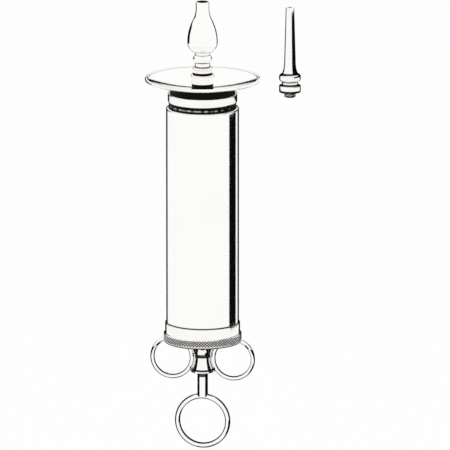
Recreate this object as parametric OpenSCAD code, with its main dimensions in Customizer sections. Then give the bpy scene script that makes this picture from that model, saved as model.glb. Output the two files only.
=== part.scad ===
// Ear syringe of nickel-plated brass, with a splash shield, an olive nozzle and three rings.
// It stands nozzle up, the way it is held when it is loaded, and the plunger is fully home.
// The origin lies on the barrel's axis, halfway along the part of the barrel that shows.
// A second, straight nozzle stands beside it, off the syringe.

/* [Barrel] */
// Outside diameter of the barrel
barrel_od = 38; // [35:0.5:42]
// Wall of the barrel tube
barrel_wall = 1.2; // [1:0.1:1.5]
// Length of barrel that shows between head and end cap
barrel_len = 115; // [90:1:130]
// Radius of the rounded edge at the barrel's mouth
mouth_round = 0.9; // [0.4:0.1:0.9]
// Depth of the step that carries the barrel's thread, at the cap end
thread_step = 0.5; // [0.3:0.1:0.6]

/* [Head] */
// Length of the head's spigot inside the barrel
spigot_len = 4; // [3:0.5:7]
// Height of the black joint ring that shows above the barrel
joint_ring_show = 3; // [1.5:0.1:4]
// Depth that the joint ring reaches into the barrel's mouth
joint_ring_sunk = 1; // [0.5:0.1:2]
// Radial width of the joint ring
joint_ring_w = 1.6; // [1.2:0.1:2.5]
// How far the collar's side stands inside the barrel's side
collar_inset = 0.9; // [0.4:0.1:1.6]
// Height of the head's collar
collar_h = 4.5; // [3.5:0.1:7]
// Chamfer on the collar's edges
collar_chamfer = 0.5; // [0.2:0.1:0.6]
// Width of the collar's lip round the cushion ring
collar_lip = 1.2; // [0.8:0.1:1.6]
// Radius of the boss in the middle of the head
head_boss_r = 7; // [6:0.1:8]
// Height of that boss above the collar
head_boss_rise = 2.2; // [1.5:0.1:3]
// Thickness of the head's floor, from the barrel's side to the relief round the boss
head_floor = 5; // [4.5:0.1:6]

/* [Cushion ring] */
// Radial width of the cushion ring under the shield
cushion_w = 2.4; // [1.6:0.1:3.2]
// Depth of its seat in the collar
cushion_seat = 1.2; // [0.8:0.1:2]

/* [Splash shield] */
// Outside diameter of the splash shield
shield_od = 60; // [50:1:70]
// Depth of its dish
shield_depth = 4.6; // [3:0.1:7]
// Thickness of its sheet
shield_sheet = 1; // [0.8:0.1:1.3]
// Diameter of the rolled bead round its rim
shield_bead = 1.7; // [1.5:0.1:2.4]

/* [Nozzle socket] */
// Diameter of the socket that takes the nozzle
socket_od = 12.4; // [11.6:0.1:14]
// Height of the socket
socket_h = 4.7; // [4:0.1:7]
// Radius of the socket's rounded shoulder
socket_round = 0.9; // [0.4:0.1:1.4]
// Radius of the socket's threaded tail
tail_r = 4.5; // [4:0.1:5]
// Length of the thread on that tail, inside the head
tail_thread = 7.4; // [5:0.1:8]
// Diameter of the black washer under the socket
socket_washer_od = 11.2; // [10.4:0.1:11.4]
// Height of that washer at the shield's centre
socket_washer_h = 2; // [1.2:0.1:3]

/* [Nozzles] */
// Radius of the thread on each nozzle
stub_r = 3.05; // [2.7:0.05:3.3]
// Length of that thread
stub_len = 2.6; // [2:0.1:3.4]
// Depth of the relief between that thread and the flange
stub_relief = 0.3; // [0.2:0.05:0.4]
// Radius of the bore through the olive nozzle
jet_r = 1.2; // [0.8:0.05:1.4]
// Thickness of the black washer under each nozzle
nozzle_washer_h = 0.9; // [0.6:0.1:1.4]
// Radius of the olive nozzle's flange
stem_flange_r = 5.15; // [4.5:0.05:5.2]
// Height of that flange
stem_flange_h = 2.9; // [2:0.1:4]
// Radius of the stem's neck
stem_neck_r = 3.95; // [3.6:0.05:4.2]
// Length of the neck below the bead
lower_neck_h = 2.4; // [1.5:0.1:4]
// Radius of the bead
bead_r = 4.9; // [4.6:0.05:5.6]
// Height of the bead
bead_h = 4; // [2.4:0.1:5]
// Length of the neck above the bead
upper_neck_h = 1.6; // [1:0.1:3]

/* [Olive] */
// Largest radius of the olive
olive_r = 7.9; // [7:0.1:9]
// Radius of the olive's foot
olive_foot_r = 5.5; // [5.3:0.1:6.4]
// Height of the widest place above the foot
olive_belly_z = 5.1; // [4.8:0.1:7]
// Height over which the olive draws in from its widest place to its spout
olive_taper_h = 18; // [14:0.1:20]
// Share of that height over which its outline bows outwards, before it turns hollow
olive_turn = 0.66; // [0.4:0.01:0.75]
// Radius of the spout
spout_r = 3.5; // [3.2:0.05:3.9]
// Length of the straight spout
spout_h = 3.5; // [3:0.1:7]
// Radius of the spout's mouth
mouth_r = 2.7; // [2:0.05:2.8]
// Depth of that mouth
mouth_depth = 6; // [3:0.1:8]
// Length of the stem's tenon inside the olive
tenon_h = 6; // [4:0.1:8]
// Radius of that tenon
tenon_r = 2.6; // [2.4:0.05:3]

/* [Spare nozzle] */
// Distance of the spare nozzle from the syringe's axis
spare_x = 46; // [44:0.5:60]
// Height of its seat above the syringe's centre
spare_z = 68; // [40:0.5:70]
// Radius of its two flanges
spare_flange_r = 5.65; // [5.2:0.05:6.2]
// Height of the lower flange
spare_lower_h = 2.7; // [2:0.1:4]
// Radius of the groove between the flanges
spare_groove_r = 4.25; // [3.8:0.05:4.6]
// Height of that groove
spare_groove_h = 2.2; // [1.4:0.1:3]
// Height of the upper flange
spare_upper_h = 3.7; // [2.8:0.1:5]
// Radius of the rounded edges of the upper flange
spare_round = 1.2; // [0.6:0.1:1.3]
// Radius of the root on the upper flange
spare_root_r = 4.4; // [3.8:0.05:4.6]
// Height of the flared root
spare_root_h = 6; // [4:0.1:9]
// Radius of the pipe above the root
spare_pipe_r = 3; // [2.8:0.05:3.4]
// Radius of the pipe at its tip
spare_tip_r = 2.2; // [1.8:0.05:2.3]
// Length of the pipe
spare_pipe_len = 29.4; // [22:0.1:40]
// Radius of its bore
spare_jet_r = 1; // [0.7:0.05:1.2]

/* [End cap] */
// How far the cap's side stands outside the barrel's side
cap_step = 0.6; // [0.6:0.1:1.2]
// Height of the cap's plain band
cap_band_h = 5.5; // [4:0.1:8]
// Thickness of the cap's floor
cap_floor = 2.2; // [1.6:0.1:3]
// Height of the plain lip below the knurl
cap_lip_h = 0.9; // [0.6:0.1:1.2]
// Thickness of the cap's gasket
cap_gasket_h = 1; // [0.6:0.1:1.4]
// Height of the knurled band
knurl_h = 3.9; // [3:0.1:5]
// How far the knurl stands out from the cap
knurl_stand = 0.75; // [0.6:0.05:1]
// Depth of the knurl's grooves
knurl_depth = 0.4; // [0.2:0.05:0.45]
// Number of diamonds round the band
knurl_count = 80; // [60:4:96]
// Number of rows of diamonds
knurl_rows = 3; // [2:1:4]

/* [Gland] */
// Radius of the gland's waist, between the finger rings
waist_r = 4.5; // [4.4:0.05:5.5]
// Radius of the gland's root under the cap
gland_root_r = 8.5; // [8:0.1:9.5]
// Length of the gland from the cap to its rim
gland_len = 16.3; // [14.5:0.1:18]
// Radius of the gland nut's rim
gland_rim_r = 6.5; // [6.2:0.05:7]
// Height of that rim
gland_rim_h = 0.8; // [0.6:0.1:1.4]
// How far the gland nut's bell stands back from the finger rings
bell_gap = 0.4; // [0.2:0.05:0.6]
// Height of the groove between the stuffing box and the gland nut
gland_groove = 1.2; // [0.5:0.1:1.5]
// Length of the stuffing box below the cap
box_len = 7; // [6.5:0.1:8.5]
// Thickness of one packing ring
packing_h = 1.2; // [1:0.1:1.4]
// Number of packing rings
packing_count = 3; // [2:1:4]
// Wall of the stuffing box at its waist
box_wall = 0.95; // [0.8:0.05:1]

/* [Rings] */
// Inside diameter of each finger ring
finger_ring_id = 18.8; // [17:0.1:22]
// Thickness of the finger rings' wire
finger_wire = 2.4; // [1.8:0.1:2.6]
// How far each finger ring's hole is cut by the cap's underside
finger_bite = 0.2; // [0.1:0.1:0.6]
// Inside diameter of the thumb ring
thumb_ring_id = 24; // [22:0.1:28]
// Thickness of the thumb ring's wire
thumb_wire = 2.9; // [2:0.1:3.2]
// Depth of the flat inside each ring
ring_flat = 0.2; // [0.1:0.05:0.3]

/* [Plunger] */
// Diameter of the plunger rod
rod_d = 5.5; // [4.6:0.1:5.6]
// Length of rod that shows between the gland and the thumb ring, plunger home
rod_show = 12; // [8:0.1:20]
// Radius of the thumb ring's pin in the rod
ring_pin_r = 1.3; // [1:0.05:1.5]
// Length of that pin
ring_pin_len = 7; // [5:0.1:10]
// Radius of the rod's journal in the piston
journal_r = 2; // [1.6:0.05:2.1]
// Thickness of each piston plate
plate_h = 2.5; // [1.5:0.1:3.5]
// Thickness of the leather
leather_t = 1.4; // [1:0.1:1.8]
// Height of each leather cup
cup_h = 5; // [4.2:0.1:7]
// Thickness of the spreader between the leathers
spreader_h = 2; // [1.5:0.1:4]
// Height of the piston nut
nut_h = 3; // [2.4:0.1:3.4]
// Width of the piston nut across its corners
nut_corners = 9; // [8:0.1:10]

/* [Hidden] */
$fn = 96;

// Clearances
fit = 0.03;
run = 0.05;
seat = 0.05;
leather_run = 0.08;
home_gap = 0.3;
cut = 1;

// Colours
nickel = [0.80, 0.81, 0.82];
bright = [0.88, 0.88, 0.88];
black = [0.08, 0.08, 0.08];
leather = [0.45, 0.28, 0.15];
brass = [0.78, 0.62, 0.30];

// Barrel
barrel_r = barrel_od / 2;
bore_r = barrel_r - barrel_wall;
barrel_top = barrel_len / 2;
cap_top = -barrel_len / 2;
thread_r = barrel_r - thread_step;

// End cap
cap_r = barrel_r + cap_step;
cap_bottom = cap_top - cap_band_h - knurl_h - cap_lip_h;
cap_floor_top = cap_bottom + cap_floor;
cap_gasket_top = cap_floor_top + seat + cap_gasket_h;
barrel_end = cap_gasket_top + seat;
knurl_bottom = cap_bottom + cap_lip_h;
knurl_r = cap_r + knurl_stand;

// Rod and gland
rod_r = rod_d / 2;
rod_bore_r = rod_r + run;
finger_mid_r = finger_ring_id / 2 - ring_flat + finger_wire / 2;
finger_out_r = finger_mid_r + finger_wire / 2;
finger_x = waist_r + fit + finger_out_r;
finger_z = cap_bottom - finger_ring_id / 2 + finger_bite;
box_bottom = cap_bottom - box_len;
nut_shoulder = box_bottom - gland_groove;
gland_bottom = cap_bottom - gland_len;
rim_top = gland_bottom + gland_rim_h;
chamber_r = waist_r - box_wall;
packing_stack = packing_count * (packing_h + seat);
chamber_top = box_bottom + gland_groove + packing_stack;

// Thumb ring
thumb_mid_r = thumb_ring_id / 2 - ring_flat + thumb_wire / 2;
thumb_out_r = thumb_mid_r + thumb_wire / 2;
thumb_z = gland_bottom - rod_show - thumb_out_r;

// Head
spigot_r = bore_r - fit;
joint_bottom = barrel_top - joint_ring_sunk;
joint_ring_in_r = spigot_r - joint_ring_w;
collar_bottom = barrel_top + joint_ring_show;
collar_top = collar_bottom + collar_h;
collar_r = barrel_r - collar_inset;
spigot_bottom = joint_bottom - spigot_len;
cushion_r = collar_r - collar_lip;
cushion_in_r = cushion_r - cushion_w;
relief_bottom = spigot_bottom + head_floor;
relief_wall = 1.2;
boss_top = collar_top + head_boss_rise;

// Shield, a spherical dish with a rolled rim
bead_r2 = shield_bead / 2;
shield_rim_r = shield_od / 2 - bead_r2;
shield_under_z = boss_top + seat;
shield_in_r = (shield_rim_r * shield_rim_r + shield_depth * shield_depth) / (2 * shield_depth);
shield_out_r = shield_in_r + shield_sheet;
shield_centre_z = shield_under_z + shield_out_r;
shield_mid_r = shield_in_r + shield_sheet / 2;
shield_rim_z = shield_centre_z - sqrt(shield_mid_r * shield_mid_r - shield_rim_r * shield_rim_r);
shield_top_z = shield_under_z + shield_sheet;

// Socket
socket_bottom = shield_top_z + socket_washer_h;
socket_top = socket_bottom + socket_h;
tail_bottom = boss_top - tail_thread;
passage_r = 2;
nut_well_r = nut_corners / 2 + 0.7;
nut_well_top = spigot_bottom + nut_h + 0.4;

// Olive nozzle
relief_r = stub_r - stub_relief;
washer_hole_r = relief_r + run;
flange_bottom = socket_top + seat + nozzle_washer_h + seat;
flange_top = flange_bottom + stem_flange_h;
bead_bottom = flange_top + lower_neck_h;
bead_top = bead_bottom + bead_h;
olive_bottom = bead_top + upper_neck_h;
belly_z = olive_bottom + olive_belly_z;
spout_z = belly_z + olive_taper_h;
olive_top = spout_z + spout_h;
stub_bottom = socket_top - stub_len;

// Piston, stacked down from its home place under the head
front_lip_z = spigot_bottom - home_gap;
front_cup_z = front_lip_z - cup_h;
front_plate_z = front_cup_z + leather_t;
front_plate_top = front_plate_z + plate_h;
spreader_z = front_cup_z - spreader_h;
rear_leather_z = spreader_z - leather_t;
rear_lip_z = spreader_z - cup_h;
rear_plate_z = rear_leather_z - plate_h;
leather_r = bore_r - leather_run;
plate_r = leather_r - leather_t - run;
nut_bottom = front_plate_top + run;
nut_top = nut_bottom + nut_h;
rod_shoulder = rear_plate_z - run;
journal_hole_r = journal_r + run;
journal_end = nut_top - 0.4;

// Points of an arc, from angle a to angle b
function arc(x, z, r, a, b, n) = [for (i = [0:n]) [x + r * cos(a + (b - a) * i / n),
    z + r * sin(a + (b - a) * i / n)]];

// Points of a curve that leaves p towards q and arrives at s
function bend(p, q, s, n) = [for (i = [0:n]) let (t = i / n)
    (1 - t) * (1 - t) * p + 2 * t * (1 - t) * q + t * t * s];

// A disc or ring with its axis on Z, from z = low to z = high
module ring(low, high, outer, inner) {
    translate([0, 0, low])
        difference() {
            cylinder(h = high - low, r = outer);
            translate([0, 0, -cut]) cylinder(h = high - low + 2 * cut, r = inner);
        }
}

// A hole on Z
module bore(low, high, r) {
    translate([0, 0, low]) cylinder(h = high - low, r = r);
}

// A profile of [radius, height] points turned about Z
module turned(points) {
    rotate_extrude() polygon(points);
}

// Outline of a nozzle's stub: thread up to its washer, then the relief up to the flange
function stub(low, washer, flange) = [[0, low], [stub_r - 0.3, low], [stub_r, low + 0.3],
    [stub_r, washer], [relief_r, washer], [relief_r, flange]];

// A wire bent into a ring whose hole lies along Y
module wire_ring(mid_r, wire_d, flat) {
    rotate([90, 0, 0])
        rotate_extrude()
            intersection() {
                translate([mid_r, 0]) circle(d = wire_d, $fn = 48);
                translate([mid_r - wire_d / 2 + flat, -wire_d]) square([2 * wire_d, 2 * wire_d]);
            }
}

// Barrel: drawn tube, rounded at its mouth and stepped for the cap's thread
module barrel_tube() {
    color(nickel)
        difference() {
            union() {
                turned(concat(
                    [[bore_r, cap_top], [barrel_r, cap_top]],
                    arc(barrel_r - mouth_round, barrel_top - mouth_round, mouth_round, 0, 90, 8),
                    [[bore_r, barrel_top]]));
                turned([[bore_r, barrel_end], [thread_r - thread_step, barrel_end],
                    [thread_r, barrel_end + thread_step], [thread_r, cap_top + fit],
                    [bore_r, cap_top + fit]]);
            }
            bore(barrel_end - cut, barrel_top + cut, bore_r);
        }
}

// Head: a turned plug with a collar, a threaded boss and a well for the piston nut
module head_cap() {
    color(nickel)
        difference() {
            turned([[0, spigot_bottom], [spigot_r, spigot_bottom], [spigot_r, joint_bottom - seat],
                [joint_ring_in_r - fit, joint_bottom - seat], [joint_ring_in_r - fit, collar_bottom + seat],
                [collar_r - collar_chamfer, collar_bottom + seat],
                [collar_r, collar_bottom + seat + collar_chamfer],
                [collar_r, collar_top - collar_chamfer],
                [collar_r - collar_chamfer, collar_top],
                [cushion_r + fit, collar_top],
                [cushion_r + fit, collar_top - cushion_seat],
                [cushion_in_r - relief_wall, collar_top - cushion_seat],
                [cushion_in_r - relief_wall, relief_bottom],
                [head_boss_r + 2, relief_bottom],
                [head_boss_r, relief_bottom + 2],
                [head_boss_r, boss_top - 0.4],
                [head_boss_r - 0.6, boss_top],
                [0, boss_top]]);
            bore(tail_bottom - seat, boss_top + cut, tail_r + run);
            bore(spigot_bottom - cut, boss_top, passage_r);
            bore(spigot_bottom - cut, nut_well_top, nut_well_r);
        }
}

// Joint ring: black rubber, packed into the barrel's mouth under the collar
module head_joint_ring() {
    color(black)
        turned(concat(
            [[joint_ring_in_r, joint_bottom], [spigot_r, joint_bottom], [spigot_r, barrel_top + seat]],
            arc(spigot_r - 0.35, barrel_top + 0.6, 0.35, 0, 90, 5),
            arc(spigot_r - 0.35, collar_bottom - 0.6, 0.35, -90, 0, 5),
            [[spigot_r - 0.2, collar_bottom], [joint_ring_in_r, collar_bottom]]));
}

// Cushion ring: black rubber between the head's collar and the shield
module shield_cushion() {
    color(black)
        difference() {
            ring(collar_top - cushion_seat + seat, shield_top_z + shield_depth, cushion_r, cushion_in_r);
            translate([0, 0, shield_centre_z]) sphere(r = shield_out_r + seat, $fn = 200);
        }
}

// Splash shield: a spun dish with a rolled rim
module splash_shield() {
    color(bright)
        difference() {
            union() {
                intersection() {
                    difference() {
                        translate([0, 0, shield_centre_z]) sphere(r = shield_out_r, $fn = 200);
                        translate([0, 0, shield_centre_z]) sphere(r = shield_in_r, $fn = 200);
                    }
                    bore(shield_under_z - cut, shield_rim_z + shield_bead, shield_rim_r);
                }
                translate([0, 0, shield_rim_z])
                    rotate_extrude() translate([shield_rim_r, 0]) circle(r = bead_r2, $fn = 32);
            }
            bore(shield_under_z - cut, shield_top_z + cut, tail_r + fit);
        }
}

// Socket: screws into the head with its tail and takes the nozzle's thread on top
module nozzle_socket() {
    color(nickel)
        difference() {
            turned(concat(
                [[0, tail_bottom], [tail_r - 0.4, tail_bottom], [tail_r, tail_bottom + 0.4],
                    [tail_r, socket_bottom], [socket_od / 2 - 0.3, socket_bottom],
                    [socket_od / 2, socket_bottom + 0.3]],
                arc(socket_od / 2 - socket_round, socket_top - socket_round, socket_round, 0, 90, 8),
                [[0, socket_top]]));
            bore(tail_bottom - cut, socket_top, passage_r);
            bore(stub_bottom - seat, socket_top + cut, stub_r + run);
        }
}

// Washer under the socket: black fibre, cut to the dish below it
module socket_washer() {
    color(black)
        intersection() {
            ring(shield_top_z - cut, socket_bottom - seat / 2, socket_washer_od / 2, tail_r + fit);
            translate([0, 0, shield_centre_z]) sphere(r = shield_in_r - seat / 2, $fn = 200);
        }
}

// Washer under the fitted nozzle, sprung over the thread into its relief
module nozzle_washer() {
    color(black)
        ring(socket_top + seat, flange_bottom - seat, stem_flange_r, washer_hole_r);
}

// Nozzle stem: thread, flange, neck, bead and a tenon for the olive
module nozzle_stem() {
    color(nickel)
        difference() {
            turned(concat(
                stub(stub_bottom, socket_top, flange_bottom),
                [[stem_flange_r, flange_bottom]],
                arc(stem_flange_r - 0.5, flange_top - 0.5, 0.5, 0, 90, 6),
                [[stem_neck_r, flange_top], [stem_neck_r, bead_bottom]],
                bend([stem_neck_r, bead_bottom], [2 * bead_r - stem_neck_r, bead_bottom + bead_h / 2],
                    [stem_neck_r, bead_top], 12),
                [[stem_neck_r, olive_bottom - seat], [tenon_r, olive_bottom - seat],
                    [tenon_r, olive_bottom + tenon_h], [0, olive_bottom + tenon_h]]));
            bore(stub_bottom - cut, olive_bottom + tenon_h + cut, jet_r);
        }
}

// Outline of the olive: the foot's arc, the belly's arc and the hollow curve up to the spout
turn_h = olive_taper_h * olive_turn;
turn_drop = (olive_r - spout_r) * olive_turn;
turn_a = 2 * atan(turn_drop / turn_h);
shoulder_r = turn_h / sin(turn_a);
hollow_drop = olive_r - turn_drop - spout_r;
hollow_h = olive_taper_h - turn_h;
hollow_a = 2 * atan(hollow_drop / hollow_h);
hollow_r = hollow_h / sin(hollow_a);
foot_drop = olive_r - olive_foot_r;
foot_h = olive_belly_z - 0.5;
foot_r = (foot_drop * foot_drop + foot_h * foot_h) / (2 * foot_drop);
foot_a = asin(foot_h / foot_r);

// Olive: a pear-shaped tip with a spout, screwed on the stem's tenon
module olive_tip() {
    color(bright)
        difference() {
            turned(concat(
                [[0, olive_bottom], [olive_foot_r - 0.5, olive_bottom]],
                arc(olive_r - foot_r, belly_z, foot_r, -foot_a, 0, 10),
                arc(olive_r - shoulder_r, belly_z, shoulder_r, turn_a / 10, turn_a, 9),
                arc(spout_r + hollow_r, spout_z, hollow_r, 180 + hollow_a * 0.9, 180, 9),
                arc(spout_r - 0.6, olive_top - 0.6, 0.6, 0, 90, 6),
                [[0, olive_top]]));
            bore(olive_bottom - cut, olive_bottom + tenon_h + seat, tenon_r + fit);
            bore(olive_bottom, olive_top, jet_r);
            bore(olive_top - mouth_depth, olive_top + cut, mouth_r);
        }
}

// Gasket between the barrel's end and the cap's floor
module cap_gasket() {
    color(black)
        ring(cap_floor_top + seat, cap_gasket_top, thread_r, bore_r - 1);
}

// What the finger rings leave of a gland turned to the radius of its root
module nested_between_rings(extra) {
    difference() {
        children();
        translate([0, 0, finger_z])
            rotate_extrude() translate([finger_x, 0]) circle(r = finger_out_r + extra, $fn = 96);
    }
}

// End cap: a screwed cap with a plain band, a seat for the knurl and the stuffing box
module end_cap() {
    color(nickel)
        difference() {
            union() {
                turned([[0, cap_bottom], [knurl_r - 0.7, cap_bottom], [knurl_r - 0.3, cap_bottom + 0.4],
                    [knurl_r - 0.3, knurl_bottom], [cap_r, knurl_bottom],
                    [cap_r, cap_top - 0.3], [cap_r - 0.3, cap_top], [0, cap_top]]);
                nested_between_rings(fit)
                    bore(box_bottom, cap_bottom + fit, gland_root_r);
            }
            bore(cap_floor_top, cap_top + cut, thread_r + run);
            bore(box_bottom - cut, cap_top, rod_bore_r);
            bore(box_bottom - cut, chamber_top, chamber_r + fit);
        }
}

// Knurled band: rows of raised diamonds on a ring sweated round the cap
knurl_cols = 2 * knurl_count;
knurl_lines = 2 * knurl_rows;
knurl_base = (knurl_lines + 1) * knurl_cols;
function knurl_point_r(i, j) = (j > 0 && j < knurl_lines && (i + j) % 2 == 0)
    ? knurl_r : knurl_r - knurl_depth;
function spun(r, i, z) = [r * cos(360 * i / knurl_cols), r * sin(360 * i / knurl_cols), z];
function on_row(i, j) = j * knurl_cols + i % knurl_cols;
function inside_low(i) = knurl_base + i % knurl_cols;
function inside_high(i) = knurl_base + knurl_cols + i % knurl_cols;
function facet_pair(i, j) = (i + j) % 2 == 0
    ? [[on_row(i, j), on_row(i, j + 1), on_row(i + 1, j)],
        [on_row(i, j + 1), on_row(i + 1, j + 1), on_row(i + 1, j)]]
    : [[on_row(i, j), on_row(i, j + 1), on_row(i + 1, j + 1)],
        [on_row(i, j), on_row(i + 1, j + 1), on_row(i + 1, j)]];

module knurled_band() {
    low = knurl_bottom + fit;
    high = knurl_bottom + knurl_h;
    points = concat(
        [for (j = [0:knurl_lines], i = [0:knurl_cols - 1])
            spun(knurl_point_r(i, j), i, low + (high - low) * j / knurl_lines)],
        [for (i = [0:knurl_cols - 1]) spun(cap_r + fit, i, low)],
        [for (i = [0:knurl_cols - 1]) spun(cap_r + fit, i, high)]);
    faces = concat(
        [for (j = [0:knurl_lines - 1], i = [0:knurl_cols - 1], f = facet_pair(i, j)) f],
        [for (i = [0:knurl_cols - 1]) [inside_low(i), on_row(i, 0), on_row(i + 1, 0), inside_low(i + 1)]],
        [for (i = [0:knurl_cols - 1]) [inside_high(i), inside_high(i + 1),
            on_row(i + 1, knurl_lines), on_row(i, knurl_lines)]],
        [for (i = [0:knurl_cols - 1]) [inside_low(i), inside_low(i + 1), inside_high(i + 1), inside_high(i)]]);
    color(bright) polyhedron(points = points, faces = faces, convexity = 4);
}

// Packing: greased leather rings round the rod, pressed together by the gland nut
module rod_packing() {
    color(leather)
        for (i = [0:packing_count - 1])
            ring(chamber_top - (i + 1) * (packing_h + seat) + seat,
                chamber_top - i * (packing_h + seat), chamber_r, rod_bore_r);
}

// Gland nut: a bell with a thin rim, its tail pressing on the packing
module gland_nut() {
    color(nickel)
        difference() {
            union() {
                nested_between_rings(bell_gap)
                    bore(rim_top - gland_rim_h / 2, nut_shoulder, gland_rim_r);
                nested_between_rings(fit + run)
                    bore(gland_bottom, rim_top, gland_rim_r);
                bore(nut_shoulder - gland_rim_h, chamber_top - packing_stack, chamber_r);
            }
            bore(gland_bottom - cut, box_bottom + box_len, rod_bore_r);
        }
}

// Finger ring: wire bent to a C, its straight ends butted on the cap's underside
module finger_ring(side) {
    end_a = acos((cap_bottom - finger_z) / finger_out_r);
    translate([side * finger_x, 0, finger_z])
        difference() {
            union() {
                rotate([90, 0, 0])
                    rotate([0, 0, 90 + end_a])
                        rotate_extrude(angle = 360 - 2 * end_a)
                            translate([finger_mid_r, 0]) circle(d = finger_wire, $fn = 48);
                for (turn = [0, 1])
                    mirror([turn, 0, 0])
                        translate([-finger_mid_r * sin(end_a), 0, finger_mid_r * cos(end_a)])
                            rotate([0, 90 - end_a, 0])
                                translate([0, 0, -fit * finger_mid_r])
                                    cylinder(h = finger_out_r / 2, r = finger_wire / 2 - fit, $fn = 48);
            }
            rotate([90, 0, 0]) cylinder(h = 2 * finger_wire, r = finger_ring_id / 2, center = true);
            translate([-finger_out_r, -finger_out_r, cap_bottom - finger_z])
                cube([2 * finger_out_r, 2 * finger_out_r, finger_out_r]);
        }
}

module finger_ring_left() {
    color(bright) finger_ring(-1);
}

module finger_ring_right() {
    color(bright) finger_ring(1);
}

// Piston plates, the leather cups between them, and the spreader that parts the cups
module piston_front_plate() {
    color(brass) ring(front_plate_z, front_plate_top, plate_r, journal_hole_r);
}

module piston_leather_front() {
    color(leather)
        difference() {
            ring(front_cup_z, front_lip_z, leather_r, journal_hole_r);
            bore(front_plate_z, front_lip_z + cut, leather_r - leather_t);
        }
}

module piston_spreader() {
    color(brass) ring(spreader_z, front_cup_z, leather_r - leather_run, journal_hole_r);
}

module piston_leather_rear() {
    color(leather)
        difference() {
            ring(rear_lip_z, spreader_z, leather_r, journal_hole_r);
            bore(rear_lip_z - cut, rear_leather_z, leather_r - leather_t);
        }
}

module piston_rear_plate() {
    color(brass) ring(rear_plate_z, rear_leather_z, plate_r, journal_hole_r);
}

// Plunger rod: polished rod with a journal for the piston and a socket for the ring's pin
module plunger_rod() {
    color(nickel)
        difference() {
            union() {
                bore(thumb_z + thumb_mid_r, rod_shoulder, rod_r);
                bore(rod_shoulder - cut, journal_end, journal_r);
            }
            translate([0, 0, thumb_z])
                rotate([90, 0, 0])
                    rotate_extrude() translate([thumb_mid_r, 0]) circle(r = thumb_wire / 2 + fit, $fn = 48);
            bore(thumb_z, thumb_z + thumb_out_r + ring_pin_len + seat, ring_pin_r + fit);
        }
}

// Nut on the journal's end, in front of the piston
module piston_nut() {
    color(brass)
        difference() {
            translate([0, 0, nut_bottom]) cylinder(h = nut_h, d = nut_corners, $fn = 6);
            bore(nut_bottom - cut, nut_top + cut, journal_r + fit);
        }
}

// Thumb ring: bent wire with a pin that screws into the rod
module thumb_ring() {
    color(bright)
        union() {
            translate([0, 0, thumb_z]) wire_ring(thumb_mid_r, thumb_wire, ring_flat);
            bore(thumb_z + thumb_mid_r, thumb_z + thumb_out_r + ring_pin_len, ring_pin_r);
        }
}

// Heights of the spare nozzle
spare_groove_z = spare_z + spare_lower_h;
spare_upper_z = spare_groove_z + spare_groove_h;
spare_root_z = spare_upper_z + spare_upper_h;
spare_pipe_z = spare_root_z + spare_root_h;
spare_top = spare_pipe_z + spare_pipe_len;
spare_stub_z = spare_z - nozzle_washer_h - 2 * seat - stub_len;

// Spare nozzle: two flanges with a groove between them, a flared root and a long tapered pipe
module spare_nozzle() {
    color(nickel)
        translate([spare_x, 0, 0])
            difference() {
                turned(concat(
                    stub(spare_stub_z, spare_stub_z + stub_len, spare_z),
                    [[spare_flange_r, spare_z],
                        [spare_flange_r, spare_groove_z - 0.3],
                        [spare_flange_r - 0.3, spare_groove_z],
                        [spare_groove_r, spare_groove_z], [spare_groove_r, spare_upper_z]],
                    arc(spare_flange_r - spare_round, spare_upper_z + spare_round, spare_round, -90, 0, 6),
                    arc(spare_flange_r - spare_round, spare_root_z - spare_round, spare_round, 0, 90, 6),
                    bend([spare_root_r, spare_root_z],
                        [spare_pipe_r + 0.15, spare_root_z + spare_root_h / 3],
                        [spare_pipe_r, spare_pipe_z], 8),
                    arc(spare_tip_r - 0.4, spare_top - 0.4, 0.4, 0, 90, 5),
                    [[0, spare_top]]));
                bore(spare_stub_z - cut, spare_top + cut, spare_jet_r);
            }
}

// Washer under the spare nozzle, held in the same relief
module spare_nozzle_washer() {
    color(black)
        translate([spare_x, 0, 0])
            ring(spare_z - seat - nozzle_washer_h, spare_z - seat, spare_flange_r, washer_hole_r);
}

barrel_tube();
head_cap();
head_joint_ring();
shield_cushion();
splash_shield();
nozzle_socket();
socket_washer();
nozzle_washer();
nozzle_stem();
olive_tip();
cap_gasket();
end_cap();
knurled_band();
rod_packing();
gland_nut();
finger_ring_left();
finger_ring_right();
piston_front_plate();
piston_leather_front();
piston_spreader();
piston_leather_rear();
piston_rear_plate();
plunger_rod();
piston_nut();
thumb_ring();
spare_nozzle();
spare_nozzle_washer();
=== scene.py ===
"""Ear syringe of nickel-plated brass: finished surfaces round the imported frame.

Every turned piece is an outline of radius and height in millimetres, spun about its own axis.
Threads and the knurl are cut into such blanks by Geometry Nodes. The bent rings are round wire.
"""

import logging
import math
from dataclasses import dataclass, replace
from enum import Enum
from typing import NamedTuple

import bmesh
import bpy
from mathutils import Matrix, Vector


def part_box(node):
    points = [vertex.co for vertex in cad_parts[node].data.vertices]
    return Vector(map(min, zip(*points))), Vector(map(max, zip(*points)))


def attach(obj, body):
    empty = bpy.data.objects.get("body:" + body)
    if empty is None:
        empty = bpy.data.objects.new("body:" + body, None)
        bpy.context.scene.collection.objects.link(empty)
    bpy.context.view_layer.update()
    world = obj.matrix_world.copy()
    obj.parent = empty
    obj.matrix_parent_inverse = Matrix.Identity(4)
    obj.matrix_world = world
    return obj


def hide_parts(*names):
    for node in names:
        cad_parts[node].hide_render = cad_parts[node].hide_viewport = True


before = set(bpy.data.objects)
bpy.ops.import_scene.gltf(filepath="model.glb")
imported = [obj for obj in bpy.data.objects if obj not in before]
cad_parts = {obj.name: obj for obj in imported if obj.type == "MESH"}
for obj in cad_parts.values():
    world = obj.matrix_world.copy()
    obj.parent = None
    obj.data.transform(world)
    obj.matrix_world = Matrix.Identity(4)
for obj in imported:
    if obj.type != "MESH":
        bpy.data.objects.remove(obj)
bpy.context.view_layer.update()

MM = 0.001
GENTLE = math.radians(155)
log = logging.getLogger("ear_syringe")

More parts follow.
